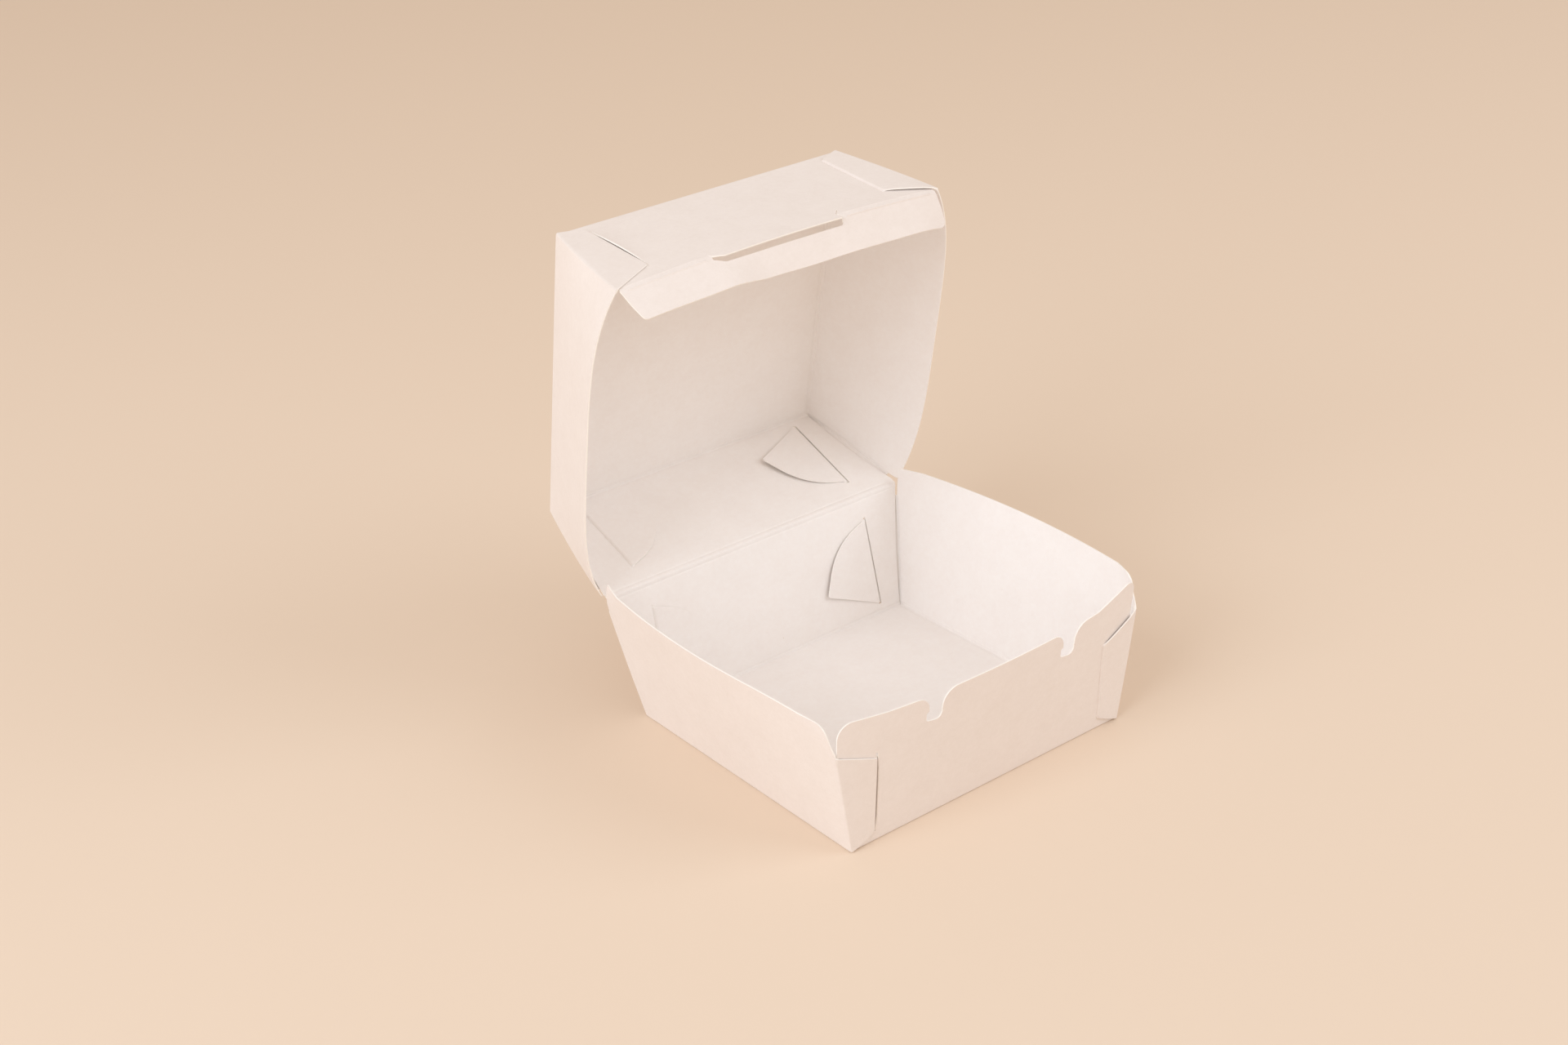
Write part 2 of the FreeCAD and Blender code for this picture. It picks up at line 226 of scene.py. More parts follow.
@dataclass(frozen=True)
class Paperboard:
    """Bleached paperboard, machine made: a matt sheet with a cloudy look from its fibres."""

    name: str
    colour: str
    cloud_colour: str
    fleck_colour: str = "#D9C4B0"
    cloud: Blotches = Blotches(9.0, 4.0, 0.6)
    # Fibres are finer than this in real board. They are drawn this coarse so that they show.
    fibre: Blotches = Blotches(0.55, 5.0, 0.7)
    grain: Blotches = Blotches(1.6, 3.0, 0.6)
    # Between these sums of the three patterns the colour goes from the cloud's to the plain.
    cloudy_sum: float = 1.1
    plain_sum: float = 1.9
    tooth_mm: float = 0.012
    tooth_strength: float = 0.9
    roughness: float = 0.78
    roughness_swing: float = 0.08
    specular_level: float = 0.35
    fleck_spacing_mm: float = 14.0
    fleck_mm: float = 0.32
    fleck_core: float = 0.3
    fleck_rim: float = 0.8
    fleck_strength: float = 0.55

    def build(self) -> bpy.types.Material:
        """Make the material.

        Returns:
            The finished material.
        """
        material, place = start_material(self.name)
        tree = material.node_tree
        # Cloudy formation: fibres settle unevenly, so the sheet is faintly patchy.
        cloud, fibre, grain = (
            add_node(tree, "ShaderNodeTexNoise", layer.inputs(place)).outputs["Fac"]
            for layer in (self.cloud, self.fibre, self.grain)
        )
        patchy = cloud
        for layer in (grain, fibre):
            patchy = add_node(
                tree, "ShaderNodeMath", {0: patchy, 1: layer}, operation="ADD"
            ).outputs[0]
        share = add_node(
            tree, "ShaderNodeMapRange",
            {"Value": patchy, "From Min": self.cloudy_sum, "From Max": self.plain_sum},
        ).outputs["Result"]
        board = add_node(
            tree, "ShaderNodeMix",
            {"Factor": share, "A": linear(self.cloud_colour), "B": linear(self.colour)},
            data_type="RGBA",
        )
        # Recycled flecks: a few pinhead specks, each well apart from the next.
        cell = add_node(
            tree, "ShaderNodeTexVoronoi",
            {"Vector": place, "Scale": 1 / (self.fleck_spacing_mm * MM), "Randomness": 1.0},
        )
        fleck = add_node(
            tree, "ShaderNodeMapRange",
            {
                "Value": cell.outputs["Distance"],
                "From Min": self.fleck_core * self.fleck_mm / self.fleck_spacing_mm,
                "From Max": self.fleck_rim * self.fleck_mm / self.fleck_spacing_mm,
                "To Min": self.fleck_strength,
                "To Max": 0.0,
            },
        ).outputs["Result"]
        speckled = add_node(
            tree, "ShaderNodeMix",
            {"Factor": fleck, "A": board.outputs["Result"], "B": linear(self.fleck_colour)},
            data_type="RGBA",
        )
        height = add_node(
            tree, "ShaderNodeMath", {0: fibre, 1: grain}, operation="ADD"
        ).outputs[0]
        rough = add_node(
            tree, "ShaderNodeMapRange",
            {
                "Value": fibre,
                "To Min": self.roughness - self.roughness_swing,
                "To Max": self.roughness + self.roughness_swing,
            },
        ).outputs["Result"]
        shader_inputs = {
            "Base Color": speckled.outputs["Result"],
            "Roughness": rough,
            "Specular IOR Level": self.specular_level,
        }
        end_material(tree, shader_inputs, height, self.tooth_mm, self.tooth_strength)
        return material


@dataclass(frozen=True)
class CutEdge:
    """Die-cut edge of the board: raw fibre, rougher than the faces, and brighter partly from its
    fibre and partly as a painted highlight along the thin edges.
    """

    name: str
    colour: str
    torn_colour: str
    fibre: Blotches = Blotches(0.4, 4.0)
    roughness: float = 0.92
    specular_level: float = 0.25
    tooth_mm: float = 0.03
    tooth_strength: float = 0.8

    def build(self) -> bpy.types.Material:
        """Make the material.

        Returns:
            The finished material.
        """
        material, place = start_material(self.name)
        tree = material.node_tree
        fibre = add_node(
            tree, "ShaderNodeTexNoise", self.fibre.inputs(place)
        ).outputs["Fac"]
        board = add_node(
            tree, "ShaderNodeMix",
            {"Factor": fibre, "A": linear(self.torn_colour), "B": linear(self.colour)},
            data_type="RGBA",
        )
        shader_inputs = {
            "Base Color": board.outputs["Result"],
            "Roughness": self.roughness,
            "Specular IOR Level": self.specular_level,
        }
        end_material(tree, shader_inputs, fibre, self.tooth_mm, self.tooth_strength)
        return material


@dataclass(frozen=True)
class Studio:
    """Plain pale floor, soft light from the left and above, and the photograph's viewpoint."""

    floor_colour: str = "#EAD7C3"
    floor_roughness: float = 0.9
    floor_size: float = 12.0
    sky_colour: tuple[float, float, float, float] = (1.0, 0.87, 0.76, 1.0)
    sky_strength: float = 0.73
    lamp_colour: Corner = (0.79, 0.89, 1.0)
    lamp_size: float = 1.1
    lamps: tuple[tuple[str, float, Corner], ...] = (
        ("key", 7.6, (-1.3, -0.25, 1.25)),
        ("low_key", 8.5, (-1.6, -0.2, 0.62)),
        ("fill", 8.2, (0.9, -1.1, 0.9)),
    )
    azimuth: float = -35.307
    elevation: float = 26.194
    roll: float = -4.552
    distance: float = 0.71219
    target: Vector = field(default_factory=lambda: Vector((-0.00001, 0.04266, 0.05370)))
    focal_pixels: float = 2734.2
    image_width: float = 1920.0
    sensor_width: float = 36.0
    clip_start: float = 0.01

    def add_camera(self) -> None:
        """Stand the camera where the photograph was taken from."""
        azimuth, elevation, roll = (
            math.radians(angle) for angle in (self.azimuth, self.elevation, self.roll)
        )
        back = Vector((
            math.sin(azimuth) * math.cos(elevation),
            -math.cos(azimuth) * math.cos(elevation),
            math.sin(elevation),
        ))
        level = Vector((math.cos(azimuth), math.sin(azimuth), 0))
        upright = back.cross(level)
        right = math.cos(roll) * level + math.sin(roll) * upright
        up = math.cos(roll) * upright - math.sin(roll) * level
        data = bpy.data.cameras.new("camera")
        data.sensor_width = self.sensor_width
        data.lens = self.focal_pixels * data.sensor_width / self.image_width
        data.clip_start = self.clip_start
        camera = bpy.data.objects.new("camera", data)
        turn = Matrix((right, up, back)).transposed().to_4x4()
        camera.matrix_world = Matrix.Translation(self.target + back * self.distance) @ turn
        bpy.context.scene.collection.objects.link(camera)
        bpy.context.scene.camera = camera

    def add_lamp(self, name: str, power: float, place: Vector) -> None:
        """Hang a square soft lamp that faces the box.

        Args:
            name: Name of the lamp.
            power: Radiant power in watts.
            place: Where it hangs, in metres.
        """
        data = bpy.data.lights.new(name, "AREA")
        data.size = self.lamp_size
        data.color = self.lamp_colour
        data.energy = power
        lamp = bpy.data.objects.new(name, data)
        lamp.location = place
        lamp.rotation_euler = (place - self.target).to_track_quat("Z", "Y").to_euler()
        bpy.context.scene.collection.objects.link(lamp)

    def add_floor(self) -> None:
        """Lay the floor and give it a plain pale surface."""
        half = self.floor_size / 2
        mesh = bpy.data.meshes.new("floor")
        corners = [(-half, -half, 0), (half, -half, 0), (half, half, 0), (-half, half, 0)]
        mesh.from_pydata(corners, [], [(0, 1, 2, 3)])
        floor = bpy.data.objects.new("floor", mesh)
        # Matt wall paint, rolled on: an even colour that takes a soft shadow.
        material = bpy.data.materials.new("floor_paint")
        material.use_nodes = True
        shader = material.node_tree.nodes["Principled BSDF"]
        shader.inputs["Base Color"].default_value = linear(self.floor_colour)
        shader.inputs["Roughness"].default_value = self.floor_roughness
        mesh.materials.append(material)
        bpy.context.scene.collection.objects.link(floor)

    def build(self) -> None:
        """Set up the floor, the light and the camera."""
        scene = bpy.context.scene
        scene.view_settings.view_transform = "Standard"
        world = bpy.data.worlds.new("studio")
        world.use_nodes = True
        sky = world.node_tree.nodes["Background"]
        sky.inputs["Color"].default_value = self.sky_colour
        sky.inputs["Strength"].default_value = self.sky_strength
        scene.world = world
        self.add_floor()
        for name, power, place in self.lamps:
            self.add_lamp(name, power, Vector(place))
        self.add_camera()


def rounded(corners: list[Corner], steps: int = 7) -> list[Point]:
    """Round the corners of a closed outline.

    Args:
        corners: Corner points with the radius that rounds each.
        steps: Points along each arc, less one.

    Returns:
        The outline's points in order.
    """
    points: list[Point] = []
    for index, (a, b, radius) in enumerate(corners):
        here = Vector((a, b))
        if not radius:
            points.append((a, b))
            continue
        back = (Vector(corners[index - 1][:2]) - here).normalized()
        ahead = (Vector(corners[(index + 1) % len(corners)][:2]) - here).normalized()
        half_angle = back.angle(ahead) / 2
        reach = radius / math.tan(half_angle)
        centre = here + (back + ahead).normalized() * (radius / math.sin(half_angle))
        start = here + back * reach - centre
        turn = (here + ahead * reach - centre).angle_signed(start)
        for step in range(steps + 1):
            arm = start.copy()
            arm.rotate(Matrix.Rotation(turn * step / steps, 2))
            points.append(tuple(centre + arm))
    return points


def divided(outline: list[Point], step: float) -> list[Point]:
    """Add points so that no edge of a closed outline is longer than step.

    Args:
        outline: The outline's points in order.
        step: Longest edge.

    Returns:
        The outline with its new points.
    """
    points: list[Point] = []
    for index, start in enumerate(outline):
        end = outline[(index + 1) % len(outline)]
        count = max(1, math.ceil(math.dist(start, end) / step))
        points += [
            (start[0] + (end[0] - start[0]) * part / count,
             start[1] + (end[1] - start[1]) * part / count)
            for part in range(count)
        ]
    return points


def inside(points: np.ndarray, outline: np.ndarray) -> np.ndarray:
    """Tell which points lie inside a closed outline.

    Args:
        points: Points, one to a row.
        outline: The outline's points in order.

    Returns:
        A boolean for each point.
    """
    start, end = outline, np.roll(outline, -1, axis=0)
    x, y = points[:, :1], points[:, 1:]
    spans = (start[:, 1] > y) != (end[:, 1] > y)
    rise = np.where(end[:, 1] == start[:, 1], 1.0, end[:, 1] - start[:, 1])
    crossing = start[:, 0] + (y - start[:, 1]) * (end[:, 0] - start[:, 0]) / rise
    return (spans & (x < crossing)).sum(axis=1) % 2 == 1


def on_board(points: np.ndarray, rings: list[np.ndarray]) -> np.ndarray:
    """Tell which points lie on the board.

    Args:
        points: Points, one to a row.
        rings: The cut outline, then the slits.

    Returns:
        A boolean for each point.
    """
    keep = inside(points, rings[0])
    for ring in rings[1:]:
        keep &= ~inside(points, ring)
    return keep


def clearance(points: np.ndarray, outline: np.ndarray) -> np.ndarray:
    """Measure how far each point is from a closed outline.

    Args:
        points: Points, one to a row.
        outline: The outline's points in order.

    Returns:
        A distance for each point.
    """
    start = outline[None, :, :]
    run = np.roll(outline, -1, axis=0)[None, :, :] - start
    away = points[:, None, :] - start
    length = np.maximum((run ** 2).sum(axis=2), 1e-12)
    share = np.clip((away * run).sum(axis=2) / length, 0, 1)
    return np.sqrt((((away - run * share[:, :, None]) ** 2).sum(axis=2)).min(axis=1))


def grid_lines(low: float, high: float, step: float, creases: list[float]) -> list[float]:
    """Space grid lines evenly, and closely beside each crease.

    Args:
        low: First line.
        high: Last line.
        step: Even spacing.
        creases: Positions of creases that need close lines.

    Returns:
        Sorted positions.
    """
    count = max(1, round((high - low) / step))
    lines = [low + (high - low) * index / count for index in range(count + 1)]
    for crease in creases:
        lines = [line for line in lines if abs(line - crease) > CREASE_CLEARANCE]
        lines += [crease + sign * gap for gap in CREASE_GAPS for sign in (-1, 1)]
    return sorted({round(line, 4) for line in lines if low <= line <= high})


def tight(lines: list[float]) -> list[float]:
    """Find the grid lines that stand close to a neighbour, as they do beside a crease.

    Args:
        lines: Sorted positions.

    Returns:
        The positions of the close ones.
    """
    gaps = [after - before for before, after in zip(lines, lines[1:])]
    nearest = [min(pair) for pair in zip(gaps[:1] + gaps, gaps + gaps[-1:])]
    return [line for line, gap in zip(lines, nearest) if gap < TIGHT_GAP]


def open_edges(triangles: list[tuple[int, ...]]) -> list[tuple[int, int]]:
    """Find the edges that only one triangle has.

    Args:
        triangles: Corner indices of each triangle.

    Returns:
        Those edges, in their triangle's direction.
    """
    used = dict.fromkeys(edge for tri in triangles for edge in zip(tri, tri[1:] + tri[:1]))
    return [edge for edge in used if edge[::-1] not in used]


def clamped(value: float) -> float:
    """Hold a value between 0 and 1."""
    return min(max(value, 0.0), 1.0)


def eased(share: float) -> float:
    """Smooth a share between 0 and 1 at both of its ends."""
    return share * share * (3 - 2 * share)


def bend(start: Vector, corner: Vector, end: Vector, share: float) -> Vector:
    """Point on the rounded fold from start to end, whose sides meet at corner."""
    rest = 1 - share
    return start * rest * rest + corner * 2 * share * rest + end * share * share


@dataclass(frozen=True)
class Swell:
    """A smooth rise of the board's face that runs along a crease."""

    offset: float
    height: float
    width: float

    def at(self, distance: float) -> float:
        """Height at a distance from the crease."""
        return self.height * math.exp(-(((distance - self.offset) / self.width) ** 2))


SCORE_BEAD = Swell(offset=0.0, height=0.24, width=0.45)
SCORE_GROOVE = Swell(offset=1.15, height=0.13, width=0.24)
FOLD_RIDGE = Swell(offset=0.8, height=0.2, width=0.22)


def score_relief(distance: float) -> float:
    """How far the inner face stands proud beside a crease: a low bead between two grooves."""
    return SCORE_BEAD.at(distance) - SCORE_GROOVE.at(distance)


def crease_relief(_: float, away: float) -> float:
    """Relief of the inner face beside a crease along the first coordinate."""
    return score_relief(abs(away))


def crease_ridges(_: float, away: float) -> float:
    """Relief of the outer face beside such a crease: a fine ridge on either side."""
    return FOLD_RIDGE.at(abs(away))


def smooth(_: float, __: float) -> float:
    """Relief of a face that has none."""
    return 0.0


@dataclass
class Sheet:
    """One bent piece of the board, as a closed mesh of even thickness."""

    name: str
    outline: list[Point]
    surface: Surface
    outward: Vector
    columns: list[float]
    rows: list[float]
    relief: Relief = smooth
    outer_relief: Relief = smooth
    slits: list[list[Point]] = field(default_factory=list)
    extra: list[Point] = field(default_factory=list)
    edge_step: float = 1.4
    edge_bulge: float = 0.05

    def crease_edges(self, index_of: dict[Point, int]) -> list[tuple[int, int]]:
        """Hold the triangles to the lines beside each crease.

        Args:
            index_of: Index of each flat point.

        Returns:
            Edges along those lines.
        """
        runs = [[(a, b) for a in self.columns] for b in tight(self.rows)]
        runs += [[(a, b) for b in self.rows] for a in tight(self.columns)]
        return [
            (index_of[start], index_of[end])
            for run in runs
            for start, end in zip(run, run[1:])
            if start in index_of and end in index_of
        ]

    def grid_spots(self, rings: list[np.ndarray]) -> list[Point]:
        """Find the grid's points that lie on the board, clear of its cut edges.

        Args:
            rings: The cut outline, then the slits.

        Returns:
            Those points, each once.
        """
        spots = np.array([(a, b) for a in self.columns for b in self.rows] + self.extra)
        spots = spots[on_board(spots, rings)]
        near = np.min([clearance(spots, ring) for ring in rings], axis=0)
        return list(dict.fromkeys(tuple(spot) for spot in spots[near > EDGE_CLEARANCE].tolist()))

    def flat_mesh(self) -> tuple[list[Point], list[tuple[int, ...]]]:
        """Triangulate the flat outline, its slits cut out, with the grid's points inside it.

        Returns:
            The flat points and the triangles.
        """
        loops = [divided(loop, self.edge_step) for loop in (self.outline, *self.slits)]
        rings = [np.array(loop) for loop in loops]
        points = [Vector(point) for loop in loops for point in loop]
        edges = []
        first = 0
        for loop in loops:
            count = len(loop)
            edges += [(first + index, first + (index + 1) % count) for index in range(count)]
            first += count
        spots = self.grid_spots(rings)
        points += [Vector(spot) for spot in spots]
        edges += self.crease_edges({spot: first + place for place, spot in enumerate(spots)})
        flat, _, faces, *_ = delaunay_2d_cdt(points, edges, [], 1, 1e-5)
        centres = np.array([sum((flat[i] for i in face), Vector((0, 0))) / 3 for face in faces])
        kept = on_board(centres, rings)
        triangles = [tuple(face) for face, wanted in zip(faces, kept) if wanted]
        return [tuple(point) for point in flat], triangles

    def normal(self, a: float, b: float) -> Vector:
        """Measure the direction square to the surface.

        Args:
            a: First flat coordinate.
            b: Second flat coordinate.

        Returns:
            A unit vector.
        """
        gap = 0.02
        along = self.surface(a + gap, b) - self.surface(a - gap, b)
        upward = self.surface(a, b + gap) - self.surface(a, b - gap)
        return along.cross(upward).normalized()

    def solid(self) -> tuple[list[Vector], list[tuple[int, ...]], list[int]]:
        """Give the surface its thickness, reliefs and softly rounded cut edges.

        Returns:
            Vertices in millimetres, faces and each face's material slot.
        """
        flat, triangles = self.flat_mesh()
        normals = [self.normal(a, b) for a, b in flat]
        if sum(normal.dot(self.outward) for normal in normals[len(flat) // 2:]) <= 0:
            normals = [-normal for normal in normals]
            triangles = [tri[::-1] for tri in triangles]
        skin = [self.surface(a, b) for a, b in flat]
        inner = [
            place - normal * (CARD + self.relief(a, b))
            for place, normal, (a, b) in zip(skin, normals, flat)
        ]
        outer = [
            place + normal * self.outer_relief(a, b)
            for place, normal, (a, b) in zip(skin, normals, flat)
        ]
        rim = open_edges(triangles)
        push: dict[int, Vector] = {}
        for start, end in rim:
            away = (outer[end] - outer[start]).cross(normals[start]).normalized()
            for index in (start, end):
                push[index] = push.get(index, Vector()) + away
        bulges = [
            (outer[index] + inner[index]) / 2 + away.normalized() * self.edge_bulge
            for index, away in push.items()
        ]
        count = len(flat)
        faces = triangles + [tuple(count + index for index in tri[::-1]) for tri in triangles]
        slots = [Finish.OUTER.value] * len(triangles) + [Finish.INNER.value] * len(triangles)
        middle_of = {index: 2 * count + place for place, index in enumerate(push)}
        for start, end in rim:
            faces.append((end, start, middle_of[start], middle_of[end]))
            faces.append((middle_of[end], middle_of[start], count + start, count + end))
            slots += [Finish.EDGE.value] * 2
        return outer + inner + bulges, faces, slots

    def build(self, body: str, node: str | None, finishes: Finishes) -> bpy.types.Object:
        """Make the mesh and dress it, and hang it on its body if it stands for a model node.

        Args:
            body: Body that the piece moves with.
            node: Model node that it stands for, or None where it stands for none and is not hung
                on a body.
            finishes: Materials for its faces and cut edges.

        Returns:
            The finished piece.
        """
        vertices, faces, slots = self.solid()
        placed = [
            [min(max(value * MM, least), most) for value, least, most in zip(spot, *CAD_BOX)]
            for spot in vertices
        ]
        mesh = bpy.data.meshes.new(self.name)
        mesh.from_pydata(placed, [], faces)
        for finish in Finish:
            mesh.materials.append(finishes[finish])
        mesh.polygons.foreach_set("material_index", slots)
        mesh.shade_smooth()
        mesh.set_sharp_from_angle(angle=math.radians(SHARP_DEGREES))
        mesh.update()
        piece = bpy.data.objects.new(self.name, mesh)
        bpy.context.scene.collection.objects.link(piece)
        if node:
            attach(piece, body)
            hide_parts(node)
        LOG.info("%s: %d faces", self.name, len(faces))
        return piece


@dataclass(frozen=True)
class CornerLock:
    """Tab outside an end wall whose fin goes in through a slit, measured from the corner."""

    low: Point = (9.4, 4.0)
    high: Point = (14.8, 34.8)
    tip: Point = (32.3, 14.0)
    tip_radius: float = 0.8
    bulge: Point = (28.0, 30.0)
    bulge_radius: float = 18.0
    slit_tab_side: float = 0.42
    slit_wall_side: float = 0.7
    slit_overrun: float = 0.5
    slit_top_overrun: float = 0.5
    # The slit is widest between these shares of its length, and this much as wide at its ends.
    slit_wide_from: float = 0.2
    slit_wide_to: float = 0.8
    slit_end_width: float = 0.4
    fold_half_width: float = 0.5
    fold_count: int = 44
    fold_gaps: tuple[float, ...] = (-0.75, -0.5, -0.3, -0.1, 0.1, 0.3, 0.5, 0.75)
    fin_lift: float = 1.0
    lifted_edge: float = 0.5
    sunk_edge: float = 0.2
    lift_reach: float = 2.6
    lift_spread: float = 1.15
    tab_lift: float = 0.0
    foot_lift: float = 0.15
    foot_height: float = 9.0
    rise_run: float = 3.0

    def past_slit(self, inward: float, upward: float) -> float:
        """Measure how far a point is past the slit's line towards the fin's tip.

        Args:
            inward: Distance from the corner crease.
            upward: Distance from the panel, along the wall.

        Returns:
            The distance, negative on the tab.
        """
        run = Vector(self.high) - Vector(self.low)
        away = Vector((inward, upward)) - Vector(self.low)
        return (away.x * run.y - away.y * run.x) / run.length

    def depth(self, inward: float, upward: float) -> float:
        """Measure how far the board has sunk from the tab's layer towards the inside.

        Args:
            inward: Distance from the corner crease.
            upward: Distance from the panel, along the wall.

        Returns:
            The depth.
        """
        past = self.past_slit(inward, upward)
        share = clamped((past / self.fold_half_width + 1) / 2)
        step = eased(share) * 2 * (CARD + LAYER_GAP)
        reach = self.past_slit(*self.tip)
        return step + self.fin_lift * (max(past, 0.0) / reach) ** 2

    def wall_lift(self, inward: float, upward: float) -> float:
        """Measure how far the fin springs the wall's slit edge outward.

        Args:
            inward: Distance from the corner crease.
            upward: Distance from the panel, along the wall.

        Returns:
            The lift, negative under the tab.
        """
        run = Vector(self.high) - Vector(self.low)
        away = Vector((inward, upward)) - Vector(self.low)
        share = away.dot(run) / run.length_squared
        along = max(0.0, 1 - (2 * share - 1) ** 2 / self.lift_spread)
        past = self.past_slit(inward, upward)
        most = self.lifted_edge if past > 0 else -self.sunk_edge
        return most * along * math.exp(-abs(past) / self.lift_reach)

    def slit_line(self) -> tuple[Vector, Vector, Vector, Vector]:
        """Find the line that the fin folds on.

        Returns:
            Its lower and upper ends, its direction and the direction towards the fin's tip.
        """
        low, high = Vector(self.low), Vector(self.high)
        along = (high - low).normalized()
        return low, high, along, Vector((along.y, -along.x))

    def slit(self) -> list[Point]:
        """Draw the slit.

        Returns:
            Its outline, as inward and upward distances.
        """
        low, high, along, across = self.slit_line()
        low = low - along * self.slit_overrun
        high = high + along * self.slit_top_overrun
        wall, tab = across * self.slit_wall_side, across * -self.slit_tab_side
        spots = (
            low + wall * self.slit_end_width,
            low.lerp(high, self.slit_wide_from) + wall,
            low.lerp(high, self.slit_wide_to) + wall,
            high + wall * self.slit_end_width,
            high + tab,
            low + tab,
        )
        return [tuple(spot) for spot in spots]

    def rise(self, inward: float, upward: float) -> float:
        """Measure how far the tab's free edges stand off the wall behind it.

        Args:
            inward: Distance from the corner crease.
            upward: Distance from the panel, along the wall.

        Returns:
            The rise, 0 on the fin and at the corner crease.
        """
        on_tab = clamped(-self.past_slit(inward, upward) / self.rise_run)
        near_fold = clamped(inward / self.rise_run)
        top = max(upward / self.high[1], 0.0) ** 3
        foot = max(1 - upward / self.foot_height, 0.0)
        return on_tab * near_fold * (self.tab_lift * top + self.foot_lift * foot)

    def fold_points(self) -> list[Point]:
        """Space close points along the fold through the slit.

        Returns:
            Inward and upward distances.
        """
        low, high, _, across = self.slit_line()
        return [
            tuple(low.lerp(high, (index + 0.5) / self.fold_count) + across * gap)
            for index in range(self.fold_count)
            for gap in self.fold_gaps
        ]


TIGHT_LOCK = CornerLock(
    slit_tab_side=0.08, slit_wall_side=0.1, fin_lift=0.05, lifted_edge=0.0, sunk_edge=0.0
)


@dataclass(frozen=True)
class Shell:
    """Four flared walls folded up from a flat panel, with locked corners."""

    label: str
    body: str
    node: str
    half_width: float
    half_depth: float
    middle_y: float
    height: float
    side_flare: float
    front_flare: float
    rear_flare: float
    side_bow: float
    front_bow: float
    side_power: float
    place: Callable[[Vector], Vector]
    front_curl: float = 0.0
    rear_curl: float = 0.0
    curl_height: float = 8.0
    curl_reach: float = 0.2
    side_rise: float = 6.0
    fold_reach: float = 0.6
    corner_reach: float = 0.7
    corner_gap: float = 0.25
    open_corner: float = 0.45
    hinge_tab_setback: float = 4.4
    # Where a tab starts beside the panel's corner, and where the side wall's fold ends.
    corner_start: float = 0.3
    foot_setback: float = 0.4
    # The side walls are drawn flat over span either way, and their fins reach this much past.
    span: float = 55.0
    fin_reach: float = 33.0
    panel_step: float = 3.0
    end_row_step: float = 2.2
    side_row_step: float = 1.6
    front_left: CornerLock = CornerLock()
    front_right: CornerLock = CornerLock()
    rear_left: CornerLock = TIGHT_LOCK
    rear_right: CornerLock = CornerLock()

    def lock(self, end: End, side: Side) -> CornerLock:
        """Find the lock of one corner.

        Args:
            end: End wall of the corner.
            side: Side wall of the corner.

        Returns:
            The corner's lock.
        """
        if end is End.FRONT:
            return self.front_left if side is Side.LEFT else self.front_right
        return self.rear_left if side is Side.LEFT else self.rear_right

    def facing(self, x: float, y: float, z: float) -> Vector:
        """Direction in the box of a direction in the shell's own frame."""
        return self.place(Vector((x, y, z))) - self.place(Vector())

    def flare(self, end: End) -> float:
        """How far an end wall's top stands out past its foot."""
        return self.front_flare if end is End.FRONT else self.rear_flare

    def corner_x(self, z: float) -> float:
        """Half width between the corner creases at a height."""
        return self.half_width + self.side_flare * z / self.height

    def end_y(self, x: float, z: float, end: End) -> float:
        """Find the outer face of an end wall.

        Args:
            x: Place along the wall.
            z: Height.
            end: Which wall.

        Returns:
            Its Y.
        """
        straight = self.half_depth + self.flare(end) * z / self.height
        bow = self.front_bow if end is End.FRONT else 0.0
        crown = bow * (1 - (x / self.corner_x(self.height)) ** 2) * z / self.height
        return self.middle_y + end.value * (straight + crown)

    def side_x(self, y: float, z: float) -> float:
        """Find the outer face of the right wall.

        Args:
            y: Place along the wall.
            z: Height.

        Returns:
            Its X.
        """
        front = self.end_y(self.half_width, self.height, End.FRONT)
        rear = self.end_y(self.half_width, self.height, End.REAR)
        share = abs(2 * y - front - rear) / (rear - front)
        bow = self.side_bow * (1 - share ** self.side_power) * z / self.height
        near_end = max(0.0, (share - 1 + self.curl_reach) / self.curl_reach)
        near_top = max(0.0, 1 - (self.height + self.side_rise - z) / self.curl_height)
        curl = self.front_curl if 2 * y < front + rear else self.rear_curl
        return self.corner_x(z) + bow - curl * near_end * near_top ** 2

    def face_y(self, z: float, end: End) -> float:
        """Outer face of the corner tabs."""
        return self.end_y(self.corner_x(z), z, end) + end.value * (LAYER_GAP + CARD)

    def edge_x(self, z: float) -> float:
        """Free edge of an end wall, just inside the side wall."""
        return self.corner_x(z) - CARD - self.corner_gap

    def lean(self, end: End) -> float:
        """Angle between an end wall and upright."""
        return math.atan2(self.flare(end), self.height)

    def end_point(self, end: End, x: float, z: float) -> Vector:
        """Find a point of an end wall or of its fold from the panel.

        Args:
            end: Which wall.
            x: Place along the wall.
            z: Height, which runs on below 0 round the fold.

        Returns:
            The place of its outer face in the box.
        """
        reach = self.fold_reach
        if z >= reach:
            inward = self.corner_x(z) - abs(x)
            side = Side.LEFT if x < 0 else Side.RIGHT
            lift = self.lock(end, side).wall_lift(inward, z / math.cos(self.lean(end)))
            return self.place(Vector((x, self.end_y(x, z, end) + end.value * lift, z)))
        corner = Vector((x, self.end_y(x, 0, end), 0))
        flat = corner - Vector((0, end.value * reach, 0))
        upper = Vector((x, self.end_y(x, reach, end), reach))
        return self.place(bend(flat, corner, upper, (z + reach) / (2 * reach)))

    def side_point(self, y: float, z: float) -> Vector:
        """Find a point of the right wall or of its fold, in the shell's own frame.

        Args:
            y: Place along the wall.
            z: Height, which runs on below 0 round the fold.

        Returns:
            The place of its outer face.
        """
        reach = self.fold_reach
        if z >= reach:
            return Vector((self.side_x(y, z), y, z))
        corner = Vector((self.side_x(y, 0), y, 0))
        flat = corner - Vector((reach, 0, 0))
        upper = Vector((self.side_x(y, reach), y, reach))
        return bend(flat, corner, upper, (z + reach) / (2 * reach))

